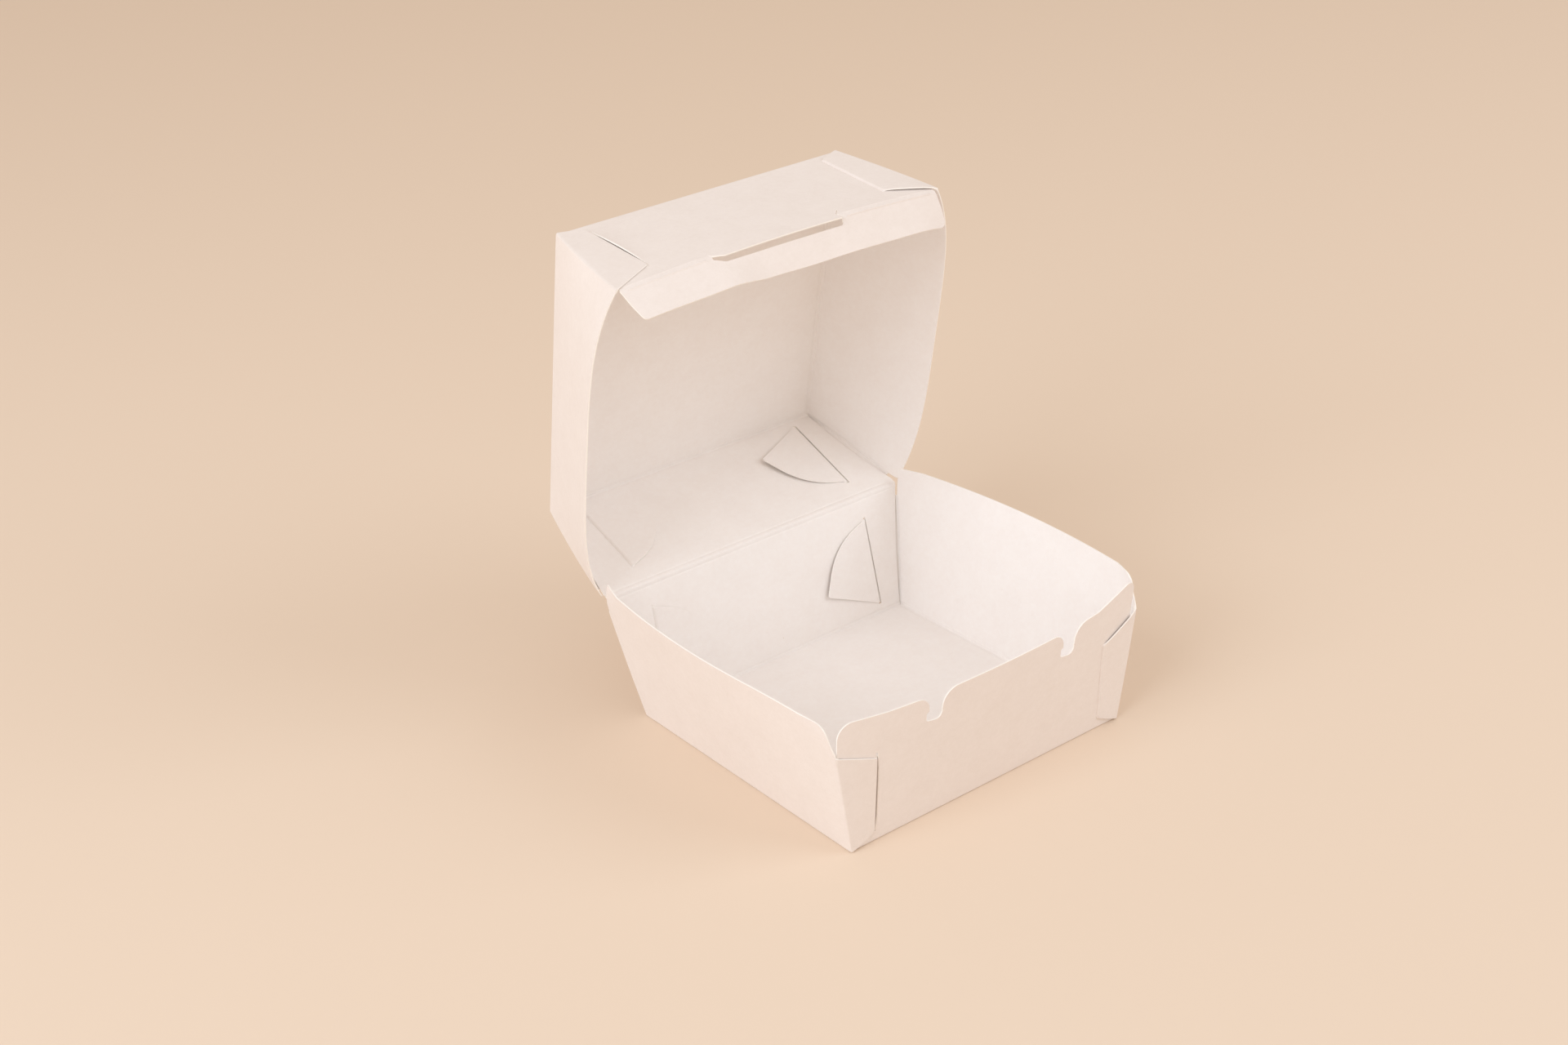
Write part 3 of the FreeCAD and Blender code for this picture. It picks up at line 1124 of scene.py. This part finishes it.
    def tab_point(self, inward: float, z: float, end: End, side: Side) -> Vector:
        """Find a point of a corner tab or of the fin that it runs on into.

        Args:
            inward: Distance from the corner crease.
            z: Height.
            end: End wall of the corner.
            side: Side wall of the corner.

        Returns:
            The place of its outer face on the right, in the shell's own frame.
        """
        lock = self.lock(end, side)
        upward = z / math.cos(self.lean(end))
        layer = LAYER_GAP + CARD - lock.depth(inward, upward) + lock.rise(inward, upward)
        x = self.corner_x(z) - inward
        return Vector((x, self.end_y(x, z, end) + end.value * layer, z))

    def wrap_point(self, side: Side, g: float, z: float) -> Vector:
        """Find a point of a side wall, its corner folds, tabs and fins.

        Args:
            side: Which wall.
            g: span at the rear corner crease and minus span at the front one. Beyond them it
                counts millimetres along the tab.
            z: Height.

        Returns:
            The place of its outer face in the box.
        """
        end = End.FRONT if g < 0 else End.REAR
        reach = self.corner_reach
        past = abs(g) - self.span
        if past <= -reach:
            spot = self.side_point(self.unspan(g, z), z)
        elif past >= reach:
            spot = self.tab_point(past, z, end, side)
        else:
            wall = self.side_point(self.unspan(end.value * (self.span - reach), z), z)
            tab = self.tab_point(reach, z, end, side)
            corner = Vector((wall.x, tab.y, z))
            spot = bend(wall, corner, tab, (past + reach) / (2 * reach))
        return self.place(Vector((spot.x * side.value, spot.y, spot.z)))

    def unspan(self, g: float, z: float) -> float:
        """Y of a flat point between the corner creases."""
        front, rear = self.face_y(z, End.FRONT), self.face_y(z, End.REAR)
        return (front + rear) / 2 + g / self.span * (rear - front) / 2

    def spanned(self, y: float, z: float) -> Point:
        """Flat place of a point of the side wall."""
        front, rear = self.face_y(z, End.FRONT), self.face_y(z, End.REAR)
        return (2 * y - front - rear) / (rear - front) * self.span, z

    def panel_point(self, x: float, y: float) -> Vector:
        """Place in the box of the panel's outer face."""
        return self.place(Vector((x, self.middle_y + y, 0)))

    def panel_relief(self, x: float, y: float) -> float:
        """Score beside the panel's nearest edge."""
        return score_relief(min(self.half_width - abs(x), self.half_depth - abs(y)))

    def end_relief(self, top_crease: float | None, _: float, z: float) -> float:
        """Score beside an end wall's fold and the crease near its top, if it has one."""
        top = 0.0 if top_crease is None else score_relief(abs(top_crease - z))
        return score_relief(abs(z)) + top

    def side_relief(self, g: float, z: float) -> float:
        """Score beside a side wall's fold and its corner creases."""
        past = abs(g) - self.span
        return (score_relief(abs(z)) if past < 0 else 0.0) + score_relief(abs(past))

    def rear_tab(self) -> float:
        """Height of the rear tabs' tops, which leave room for the hinge."""
        return self.height - self.hinge_tab_setback

    def tab_outline(self, end: End, side: Side, tab_top: float) -> list[Point]:
        """Draw a tab and its fin, from the panel's corner up to the tab's top.

        Args:
            end: End wall of the corner.
            side: Side wall of the corner.
            tab_top: Height of the tab's top.

        Returns:
            Flat points.
        """
        lock = self.lock(end, side)
        upright = math.cos(self.lean(end))
        fin = rounded([
            (*lock.low, 0), (*lock.tip, lock.tip_radius),
            (*lock.bulge, lock.bulge_radius), (*lock.high, 0),
        ])
        points = [(self.corner_start, self.corner_start)]
        points += [(inward, upward * upright) for inward, upward in fin]
        points.append((0.0, tab_top))
        return [(end.value * (self.span + inward), z) for inward, z in points]

    def rear_outline(self) -> list[Point]:
        """Draw a rear wall from its panel's fold to the hinge crease's own strip.

        The right edge is a little hollow, so that its corner stands open by a sliver.

        Returns:
            Points over x and height.
        """
        top = self.height - CREASE_STRIP
        steps = 16
        shares = [index / steps for index in range(steps + 1)]
        right = [
            (self.edge_x(top * share) - self.open_corner * math.sin(math.pi * share), top * share)
            for share in shares
        ]
        low, high = self.edge_x(0), self.edge_x(top)
        return [(-low, -self.fold_reach), (low, -self.fold_reach), *right, (-high, top)]

    def side_outline(self, side: Side, front_tab: float, rim: list[Point]) -> list[Point]:
        """Draw a side wall with its tabs and fins.

        Args:
            side: Which side wall.
            front_tab: Height of the front tab's top.
            rim: Flat points of the free edge between the tabs' tops, from front to rear.

        Returns:
            Flat points.
        """
        low = self.span - self.corner_reach - self.foot_setback
        front = self.tab_outline(End.FRONT, side, front_tab)
        rear = self.tab_outline(End.REAR, side, self.rear_tab())
        foot = [(low, self.corner_start), (low, -self.fold_reach),
                (-low, -self.fold_reach), (-low, self.corner_start)]
        return front + rim + rear[::-1] + foot

    def panel_sheet(self) -> Sheet:
        """Draw the flat panel that the walls fold up from.

        Returns:
            The panel's sheet.
        """
        across = self.half_width - self.fold_reach
        along = self.half_depth - self.fold_reach
        return Sheet(
            name=f"{self.label}_panel",
            outline=[(-across, -along), (across, -along), (across, along), (-across, along)],
            surface=self.panel_point,
            outward=self.facing(0, 0, -1),
            columns=grid_lines(
                -across, across, self.panel_step, [-self.half_width, self.half_width]
            ),
            rows=grid_lines(-along, along, self.panel_step, [-self.half_depth, self.half_depth]),
            relief=self.panel_relief,
            edge_bulge=0.0,
        )

    def end_sheet(self, end: End, outline: list[Point], top_crease: float | None) -> Sheet:
        """Draw an end wall with its two slits.

        Args:
            end: Which wall.
            outline: Its cut outline from the panel's fold up, over x and height.
            top_crease: Height of a crease near its top, or None.

        Returns:
            The wall's sheet.
        """
        upright = math.cos(self.lean(end))
        slits = [
            [
                (side.value * (self.corner_x(upward * upright) - inward), upward * upright)
                for inward, upward in self.lock(end, side).slit()
            ]
            for side in Side
        ]
        limit = self.corner_x(self.height)
        top = max(z for _, z in outline)
        creases = [0.0] if top_crease is None else [0.0, top_crease]
        return Sheet(
            name=f"{self.label}_{end.name.lower()}",
            outline=outline,
            surface=partial(self.end_point, end),
            outward=self.facing(0, end.value, 0),
            columns=grid_lines(-limit, limit, WALL_STEP, []),
            rows=grid_lines(-self.fold_reach, top, self.end_row_step, creases),
            relief=partial(self.end_relief, top_crease),
            slits=slits,
        )

    def side_sheet(self, side: Side, outline: list[Point]) -> Sheet:
        """Draw a side wall with its tabs and fins.

        Args:
            side: Which wall.
            outline: Its flat outline, as wrap_point counts it.

        Returns:
            The wall's sheet.
        """
        extra = [
            (end.value * (self.span + inward), upward * math.cos(self.lean(end)))
            for end in End
            for inward, upward in self.lock(end, side).fold_points()
        ]
        top = max(z for _, z in outline)
        limit = self.span + self.fin_reach
        return Sheet(
            name=f"{self.label}_side_{side.name.lower()}",
            outline=outline,
            surface=partial(self.wrap_point, side),
            outward=self.facing(side.value, 0, 0),
            columns=grid_lines(-limit, limit, WALL_STEP, [-self.span, self.span]),
            rows=grid_lines(-self.fold_reach, top, self.side_row_step, [0.0]),
            relief=self.side_relief,
            extra=extra,
        )


def as_drawn(spot: Vector) -> Vector:
    """Leave a point of the tray where it is: its own frame is the box's."""
    return spot


@dataclass(frozen=True)
class Tray:
    """The tray: side walls that rise past the hinge, and a notched tongue in front."""

    shell: Shell = Shell(
        label="tray", body="tray", node="tray",
        half_width=53.0, half_depth=52.0, middle_y=0.0, height=42.3,
        side_flare=6.3, front_flare=3.2, rear_flare=6.9,
        side_bow=4.5, front_bow=4.0, side_power=2.0, front_curl=2.45, rear_curl=1.85,
        place=as_drawn,
        front_left=CornerLock(high=(13.5, 29.7), slit_top_overrun=1.9, fin_lift=0.6,
                              lifted_edge=0.2, tab_lift=0.05),
        front_right=replace(TIGHT_LOCK, high=(13.6, 31.0), tab_lift=0.3, foot_lift=0.4),
        rear_right=CornerLock(lifted_edge=0.3, slit_tab_side=0.6),
        open_corner=0.7,
    )
    side_front_setback: float = 2.7
    left_front_radius: float = 5.0
    right_front_radius: float = 2.8
    # The left rim sinks to its front corner, by the square of these shares of the way.
    left_rim_drop: float = 3.2
    left_drop_start: float = -20.0
    left_drop_shares: tuple[float, ...] = (0.75, 0.6, 0.45, 0.3, 0.15, 0.0)
    side_rear_setback: float = 1.9
    side_rear_radius: float = 1.2
    rear_step_out: float = 0.8
    rear_step_down: float = 1.2
    rear_step_radius: float = 1.0
    left_tab_top: float = 35.3
    right_tab_top: float = 38.0
    left_ear: Corner = (-57.3, 45.9, 4.8)
    right_ear: Corner = (57.9, 49.4, 2.6)
    right_ear_foot: float = 56.2
    right_foot_drop: float = 3.0
    ear_width: float = 17.0
    shoulder_height: float = 44.2
    shoulder_radius: float = 6.0
    tongue_height: float = 43.6
    notch_width: float = 5.0
    notch_floor: float = 34.6
    notch_edges: Point = (-26.2, 25.8)
    notch_lip_radius: float = 4.4
    notch_sweep_radius: float = 5.5
    notch_hook: float = 0.8
    notch_hook_height: float = 0.4
    notch_hook_radii: Point = (0.4, 0.8)
    notch_tilt: float = 0.5
    notch_bottom_radius: float = 2.2
    burr: float = 0.22
    burr_count: int = 12

    def notch(self, left: float) -> list[Corner]:
        """Draw one notch from left to right: small lip, hook, floor and long sweep.

        Args:
            left: X of its left edge.

        Returns:
            Corners with their radii.
        """
        low, top, burr, hook = self.notch_floor, self.tongue_height, self.burr, self.notch_hook
        right = left + self.notch_width
        hook_top = low + self.notch_hook_height * (top - low)
        upper_radius, lower_radius = self.notch_hook_radii
        return [
            (left, top, self.notch_lip_radius),
            (left + burr / 2, hook_top + 2 * burr, 0),
            (left + burr, hook_top + burr, 0),
            (left, hook_top, 0),
            (left - hook, hook_top - hook / 2, upper_radius),
            (left - hook, low + self.notch_tilt, lower_radius),
            (right, low - self.notch_tilt, self.notch_bottom_radius),
            (right, low + self.burr_count * burr, 0),
            (right - burr, low + (self.burr_count + 1) * burr, 0),
            (right, low + (self.burr_count + 2) * burr, 0),
            (right, top, self.notch_sweep_radius),
        ]

    def front_outline(self) -> list[Point]:
        """Draw the front wall with its ears, shoulders, notches and tongue.

        Returns:
            Points over x and height.
        """
        shell = self.shell
        upright = math.cos(shell.lean(End.FRONT))
        left_top, right_top = self.left_tab_top * upright, self.right_tab_top * upright
        low_edge = shell.edge_x(0)
        left_shoulder = self.left_ear[0] + self.ear_width
        right_shoulder = self.right_ear[0] - self.ear_width
        return rounded([
            (-low_edge, -shell.fold_reach, 0),
            (-shell.edge_x(left_top), left_top, 0),
            self.left_ear,
            (left_shoulder, self.shoulder_height, self.shoulder_radius),
            *(corner for left in self.notch_edges for corner in self.notch(left)),
            (right_shoulder, self.shoulder_height, self.shoulder_radius),
            self.right_ear,
            (self.right_ear_foot, right_top, 0),
            (self.right_ear_foot, right_top - self.right_foot_drop, 0),
            (low_edge, -shell.fold_reach, 0),
        ])

    def front_corner(self, side: Side, corner_y: float, top: float) -> list[Corner]:
        """Draw the front corner of a side wall's rim.

        Args:
            side: Which side wall.
            corner_y: Y of the corner.
            top: Height of the rim.

        Returns:
            Corners with their radii, from the front.
        """
        if side is Side.RIGHT:
            return [(corner_y, top, self.right_front_radius)]
        run = corner_y - self.left_drop_start
        return [(corner_y, top - self.left_rim_drop, self.left_front_radius)] + [
            (self.left_drop_start + share * run, top - self.left_rim_drop * share ** 2, 0)
            for share in self.left_drop_shares
        ]

    def side_outline(self, side: Side) -> list[Point]:
        """Draw a side wall, its tabs and fins in one flat outline.

        Args:
            side: Which side wall.

        Returns:
            Flat points.
        """
        shell = self.shell
        tab_top = self.left_tab_top if side is Side.LEFT else self.right_tab_top
        front_tab = tab_top * math.cos(shell.lean(End.FRONT))
        rear_tab = shell.rear_tab()
        top = shell.height + shell.side_rise
        front_free = shell.end_y(shell.half_width, shell.height, End.FRONT)
        rear_free = shell.end_y(shell.half_width, shell.height, End.REAR) - self.side_rear_setback
        rim = rounded([
            (shell.face_y(front_tab, End.FRONT), front_tab, 0),
            (front_free + self.side_front_setback, shell.height, 0),
            *self.front_corner(side, front_free + self.side_front_setback + CARD, top),
            (rear_free, top, self.side_rear_radius),
            (rear_free + self.rear_step_out, shell.height - self.rear_step_down,
             self.rear_step_radius),
            (shell.end_y(shell.half_width, rear_tab, End.REAR) - CARD, rear_tab, 0),
            (shell.face_y(rear_tab, End.REAR), rear_tab, 0),
        ])
        return shell.side_outline(side, front_tab, [shell.spanned(y, z) for y, z in rim[1:-1]])

    def build(self, finishes: Finishes) -> None:
        """Make the tray's sheets and hang them on its body.

        Args:
            finishes: Materials for faces and cut edges.
        """
        shell = self.shell
        sheets = [
            shell.panel_sheet(),
            shell.end_sheet(End.FRONT, self.front_outline(), None),
            shell.end_sheet(End.REAR, shell.rear_outline(), shell.height),
            *(shell.side_sheet(side, self.side_outline(side)) for side in Side),
        ]
        for sheet in sheets:
            sheet.build(shell.body, shell.node, finishes)


@dataclass(frozen=True)
class LidPlace:
    """Where the lid stands: turned over onto the tray, then swung open about the hinge."""

    hinge_y: float = 58.9
    hinge_z: float = 42.3
    lid_height: float = 42.0
    open_angle: float = 75.7

    def __call__(self, spot: Vector) -> Vector:
        """Take a point from the lid's own frame to the box's.

        Args:
            spot: Point in the lid's own frame.

        Returns:
            Its place in the box.
        """
        angle = math.radians(self.open_angle)
        y = spot.y - self.hinge_y
        z = self.lid_height - spot.z
        return Vector((
            spot.x,
            self.hinge_y + math.cos(angle) * y + math.sin(angle) * z,
            self.hinge_z - math.sin(angle) * y + math.cos(angle) * z,
        ))


@dataclass(frozen=True)
class Lid:
    """The lid: walls bowed over the tray's, and a slot along the front crease."""

    shell: Shell = Shell(
        label="lid", body="lid", node="lid",
        half_width=53.0, half_depth=51.5, middle_y=2.3, height=42.0,
        side_flare=6.7, front_flare=4.9, rear_flare=5.1,
        side_bow=8.4, front_bow=2.4, side_power=4.0,
        place=LidPlace(),
        front_left=CornerLock(lifted_edge=0.9, slit_wall_side=0.35, slit_tab_side=0.15),
        front_right=replace(TIGHT_LOCK, tab_lift=0.3),
        rear_right=CornerLock(fin_lift=1.3, slit_tab_side=0.75),
        open_corner=1.3,
    )
    rear_corner_radius: float = 1.0
    slot_left: float = -27.0
    slot_right: float = 20.6
    slot_ramp: float = 3.6
    slot_ramp_radius: float = 1.0
    slot_strip: float = 2.0
    slot_opening: float = 1.2
    tick_run: float = 1.8
    tick_rise: float = 2.4
    tick_width: float = 0.2

    def front_outline(self) -> list[Point]:
        """Draw the front wall: a strip runs on past the crease along the slot.

        Returns:
            Points over x and height.
        """
        shell = self.shell
        end = shell.height - CREASE_STRIP
        low, high = shell.edge_x(0), shell.edge_x(end)
        strip = shell.height + self.slot_strip
        tick_x, tick_z = self.slot_right + self.tick_run, end - self.tick_rise
        return rounded([
            (-low, -shell.fold_reach, 0),
            (-high, end, 0),
            (self.slot_left, end, 0),
            (self.slot_left, shell.height, 0),
            (self.slot_left + self.slot_ramp, strip, self.slot_ramp_radius),
            (self.slot_right - CARD, strip, 0),
            (self.slot_right - CARD, end, 0),
            (tick_x, tick_z, 0),
            (tick_x + self.tick_width, tick_z + self.tick_width, 0),
            (self.slot_right, end, 0),
            (high, end, 0),
            (low, -shell.fold_reach, 0),
        ])

    def side_outline(self, side: Side) -> list[Point]:
        """Draw a side wall, its tabs and fins in one flat outline.

        Args:
            side: Which side wall.

        Returns:
            Flat points.
        """
        shell = self.shell
        rear_tab = shell.rear_tab()
        rear_free = shell.end_y(shell.half_width, rear_tab, End.REAR) - CARD
        rim = rounded([
            (shell.face_y(shell.height, End.FRONT), shell.height, 0),
            (rear_free, shell.height, self.rear_corner_radius),
            (rear_free, rear_tab, 0),
        ])
        return shell.side_outline(side, shell.height, [shell.spanned(y, z) for y, z in rim[1:]])

    def build(self, finishes: Finishes) -> None:
        """Make the lid's sheets and hang them on its body.

        Args:
            finishes: Materials for faces and cut edges.
        """
        shell = self.shell
        sheets = [
            shell.panel_sheet(),
            shell.end_sheet(End.FRONT, self.front_outline(), shell.height),
            shell.end_sheet(End.REAR, shell.rear_outline(), shell.height),
            *(shell.side_sheet(side, self.side_outline(side)) for side in Side),
        ]
        for sheet in sheets:
            sheet.build(shell.body, shell.node, finishes)


@dataclass(frozen=True)
class HingeCrease:
    """The crease that joins both rear walls, rounded on the inside of the box."""

    tray: Shell
    lid: Shell
    reach: float = 0.65

    def surface(self, x: float, s: float) -> Vector:
        """Find a point of the crease's strip.

        Args:
            x: Place along the hinge.
            s: Distance from the crease, negative on the tray's side.

        Returns:
            The place of its outer face in the box.
        """
        tray, lid = self.tray, self.lid
        if s <= -self.reach:
            return tray.end_point(End.REAR, x, tray.height + s)
        if s >= self.reach:
            return lid.end_point(End.REAR, x, lid.height - s)
        start = tray.end_point(End.REAR, x, tray.height - self.reach)
        corner = tray.end_point(End.REAR, x, tray.height)
        end = lid.end_point(End.REAR, x, lid.height - self.reach)
        return bend(start, corner, end, (s + self.reach) / (2 * self.reach))

    def build(self, finishes: Finishes) -> None:
        """Make the crease's strip and bake its place into its mesh.

        Args:
            finishes: Materials for faces and cut edges.
        """
        tray, lid = self.tray, self.lid
        width = tray.edge_x(tray.height)
        strip = CREASE_STRIP
        sheet = Sheet(
            name="hinge_crease",
            outline=[(-width, -strip), (width, -strip), (width, strip), (-width, strip)],
            surface=self.surface,
            outward=Vector((0, 1, 0)),
            columns=grid_lines(-width, width, WALL_STEP, []),
            rows=grid_lines(-strip, strip, strip, [0.0]),
            relief=crease_relief,
            edge_bulge=0.0,
        )
        piece = sheet.build(tray.body, None, finishes)
        start = self.surface(0, -self.reach) * MM
        end = self.surface(0, self.reach) * MM
        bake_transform(piece)


@dataclass(frozen=True)
class TuckLip:
    """The lip that folds in from the lid's front crease, recessed along the slot."""

    lid: Lid
    width: float = 11.5
    fold: float = 30.0
    end_clearance: float = 0.5
    left_taper: float = 1.8
    right_taper: float = 1.3
    # The ends belly out: half way along they have only this share of their taper.
    left_belly: float = 0.3
    right_belly: float = 0.15
    left_belly_radius: float = 8.0
    right_belly_radius: float = 6.0
    left_corner_radius: float = 1.6
    right_corner_radius: float = 3.2
    right_end_pull: float = 0.1
    recess_right_radius: float = 0.8
    recess_left_radius: float = 1.0
    droop: float = 3.4
    droop_start: float = -27.0
    droop_end: float = -11.0
    # Height, length and phase of the free edge's waves.
    ripples: tuple[Corner, ...] = ((0.35, 9.0, 0.0), (0.25, 5.3, 1.0))
    tip_start: float = 44.0
    tip_run: float = 14.0
    tip_droop: float = 1.2
    reach: float = 0.7
    column_step: float = 1.6
    row_step: float = 1.2

    def end(self) -> float:
        """Half width of the lip at its crease."""
        shell = self.lid.shell
        return shell.edge_x(shell.height) - self.end_clearance

    def sag(self, x: float, b: float) -> float:
        """Measure how far the lip hangs: flat at the left end, limp past the middle.

        Args:
            x: Place along the lip.
            b: Distance from the crease.

        Returns:
            The sag below its straight fold.
        """
        share = clamped((x - self.droop_start) / (self.droop_end - self.droop_start))
        ripple = sum(
            height * math.sin(x / length + phase) for height, length, phase in self.ripples
        )
        tip = max(0.0, (x - self.tip_start) / self.tip_run) ** 2
        free = max(b - self.reach, 0.0) / self.width
        return free * (self.droop * eased(share) + ripple + self.tip_droop * tip)

    def lip_point(self, x: float, b: float) -> Vector:
        """Find a point of the lip, in the lid's own frame.

        Args:
            x: Place along the lip.
            b: Distance from the crease.

        Returns:
            The place of its outer face.
        """
        shell = self.lid.shell
        turn = math.radians(self.fold) - shell.lean(End.FRONT)
        along = Vector((0, math.sin(turn), math.cos(turn)))
        away = Vector((0, -math.cos(turn), math.sin(turn)))
        skin = CARD / math.cos(shell.lean(End.FRONT))
        root = Vector((x, shell.end_y(x, shell.height, End.FRONT) + skin, shell.height))
        return root + along * b + away * (CARD - self.sag(x, b))

    def wall_point(self, x: float, z: float) -> Vector:
        """Outer face of the lid's front wall, in the lid's own frame."""
        return Vector((x, self.lid.shell.end_y(x, z, End.FRONT), z))

    def surface(self, x: float, b: float) -> Vector:
        """Find a point of the lip or of its crease.

        Args:
            x: Place along the lip.
            b: Distance from the crease, negative on the wall's side.

        Returns:
            The place of its outer face in the box.
        """
        shell = self.lid.shell
        if b <= -self.reach:
            spot = self.wall_point(x, shell.height + b)
        elif b >= self.reach:
            spot = self.lip_point(x, b)
        else:
            start = self.wall_point(x, shell.height - self.reach)
            end = self.lip_point(x, self.reach)
            corner = (self.wall_point(x, shell.height) + self.lip_point(x, 0)) / 2
            spot = bend(start, corner, end, (b + self.reach) / (2 * self.reach))
        return shell.place(spot)

    def outline(self) -> list[Point]:
        """Draw the lip beyond its crease's strip: tapered ends, round corners, recess.

        Returns:
            Points over x and the distance from the crease.
        """
        lid = self.lid
        left, right = self.end(), self.end() - self.right_end_pull
        recess = lid.slot_strip + lid.slot_opening
        return rounded([
            (-left, CREASE_STRIP, 0),
            (self.left_belly * self.left_taper - left, self.width / 2, self.left_belly_radius),
            (self.left_taper - left, self.width, self.left_corner_radius),
            (right - self.right_taper, self.width, self.right_corner_radius),
            (right - self.right_belly * self.right_taper, self.width / 2,
             self.right_belly_radius),
            (right, CREASE_STRIP, 0),
            (lid.slot_right, CREASE_STRIP, 0),
            (lid.slot_right, recess, self.recess_right_radius),
            (lid.slot_left + lid.slot_ramp, recess, self.recess_left_radius),
            (lid.slot_left, CREASE_STRIP, 0),
        ])

    def add_crease(self, label: str, low: float, high: float, finishes: Finishes) -> None:
        """Make one stretch of the lip's crease and bake its place into its mesh.

        Args:
            label: Which stretch.
            low: X of its left end.
            high: X of its right end.
            finishes: Materials for faces and cut edges.
        """
        shell = self.lid.shell
        strip = CREASE_STRIP
        crease = Sheet(
            name=f"lip_crease_{label}",
            outline=[(low, -strip), (high, -strip), (high, strip), (low, strip)],
            surface=self.surface,
            outward=shell.facing(0, -1, 0),
            columns=grid_lines(low, high, WALL_STEP, []),
            rows=sorted(sign * gap for sign in (-1, 1) for gap in FOLD_GAPS),
            relief=crease_relief,
            outer_relief=crease_ridges,
            edge_bulge=0.0,
        )
        piece = crease.build(shell.body, None, finishes)
        middle = (low + high) / 2
        start = self.surface(middle, -self.reach) * MM
        stop = self.surface(middle, self.reach) * MM
        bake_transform(piece)

    def build(self, finishes: Finishes) -> None:
        """Make the lip and the two stretches of its crease.

        Args:
            finishes: Materials for faces and cut edges.
        """
        lid, end = self.lid, self.end()
        lip = Sheet(
            name="tuck_lip",
            outline=self.outline(),
            surface=self.surface,
            outward=lid.shell.facing(0, -1, 0),
            columns=grid_lines(-end, end, self.column_step, []),
            rows=grid_lines(0, self.width, self.row_step, [0.0]),
            relief=crease_relief,
        )
        lip.build("tuck_flap", "tuck_flap", finishes)
        self.add_crease("left", -end, lid.slot_left, finishes)
        self.add_crease("right", lid.slot_right, end - self.right_end_pull, finishes)


def main() -> None:
    """Build the studio and the box, and report each piece."""
    logging.basicConfig(level=logging.INFO, format="%(message)s")
    Studio().build()
    # The outside board is darker and the inside board lighter than one board: partly a real
    # difference between its two sides, partly painted shade on the outer walls and painted light
    # inside the box.
    finishes = {
        Finish.OUTER: Paperboard("board_outside_painted_shade", "#F0E8E3", cloud_colour="#EBE2DC").build(),
        Finish.INNER: Paperboard("board_inside_painted_light", "#FAF6F3", cloud_colour="#F6F0EC").build(),
        # The cut edge's near-white colour is partly a painted highlight along the thin edges.
        Finish.EDGE: CutEdge("board_cut_edge_painted_highlight", "#FFFDFA", torn_colour="#F8F2EA").build(),
    }
    tray = Tray()
    lid = Lid()
    tray.build(finishes)
    lid.build(finishes)
    HingeCrease(tray.shell, lid.shell).build(finishes)
    TuckLip(lid).build(finishes)


if __name__ == "__main__":
    main()
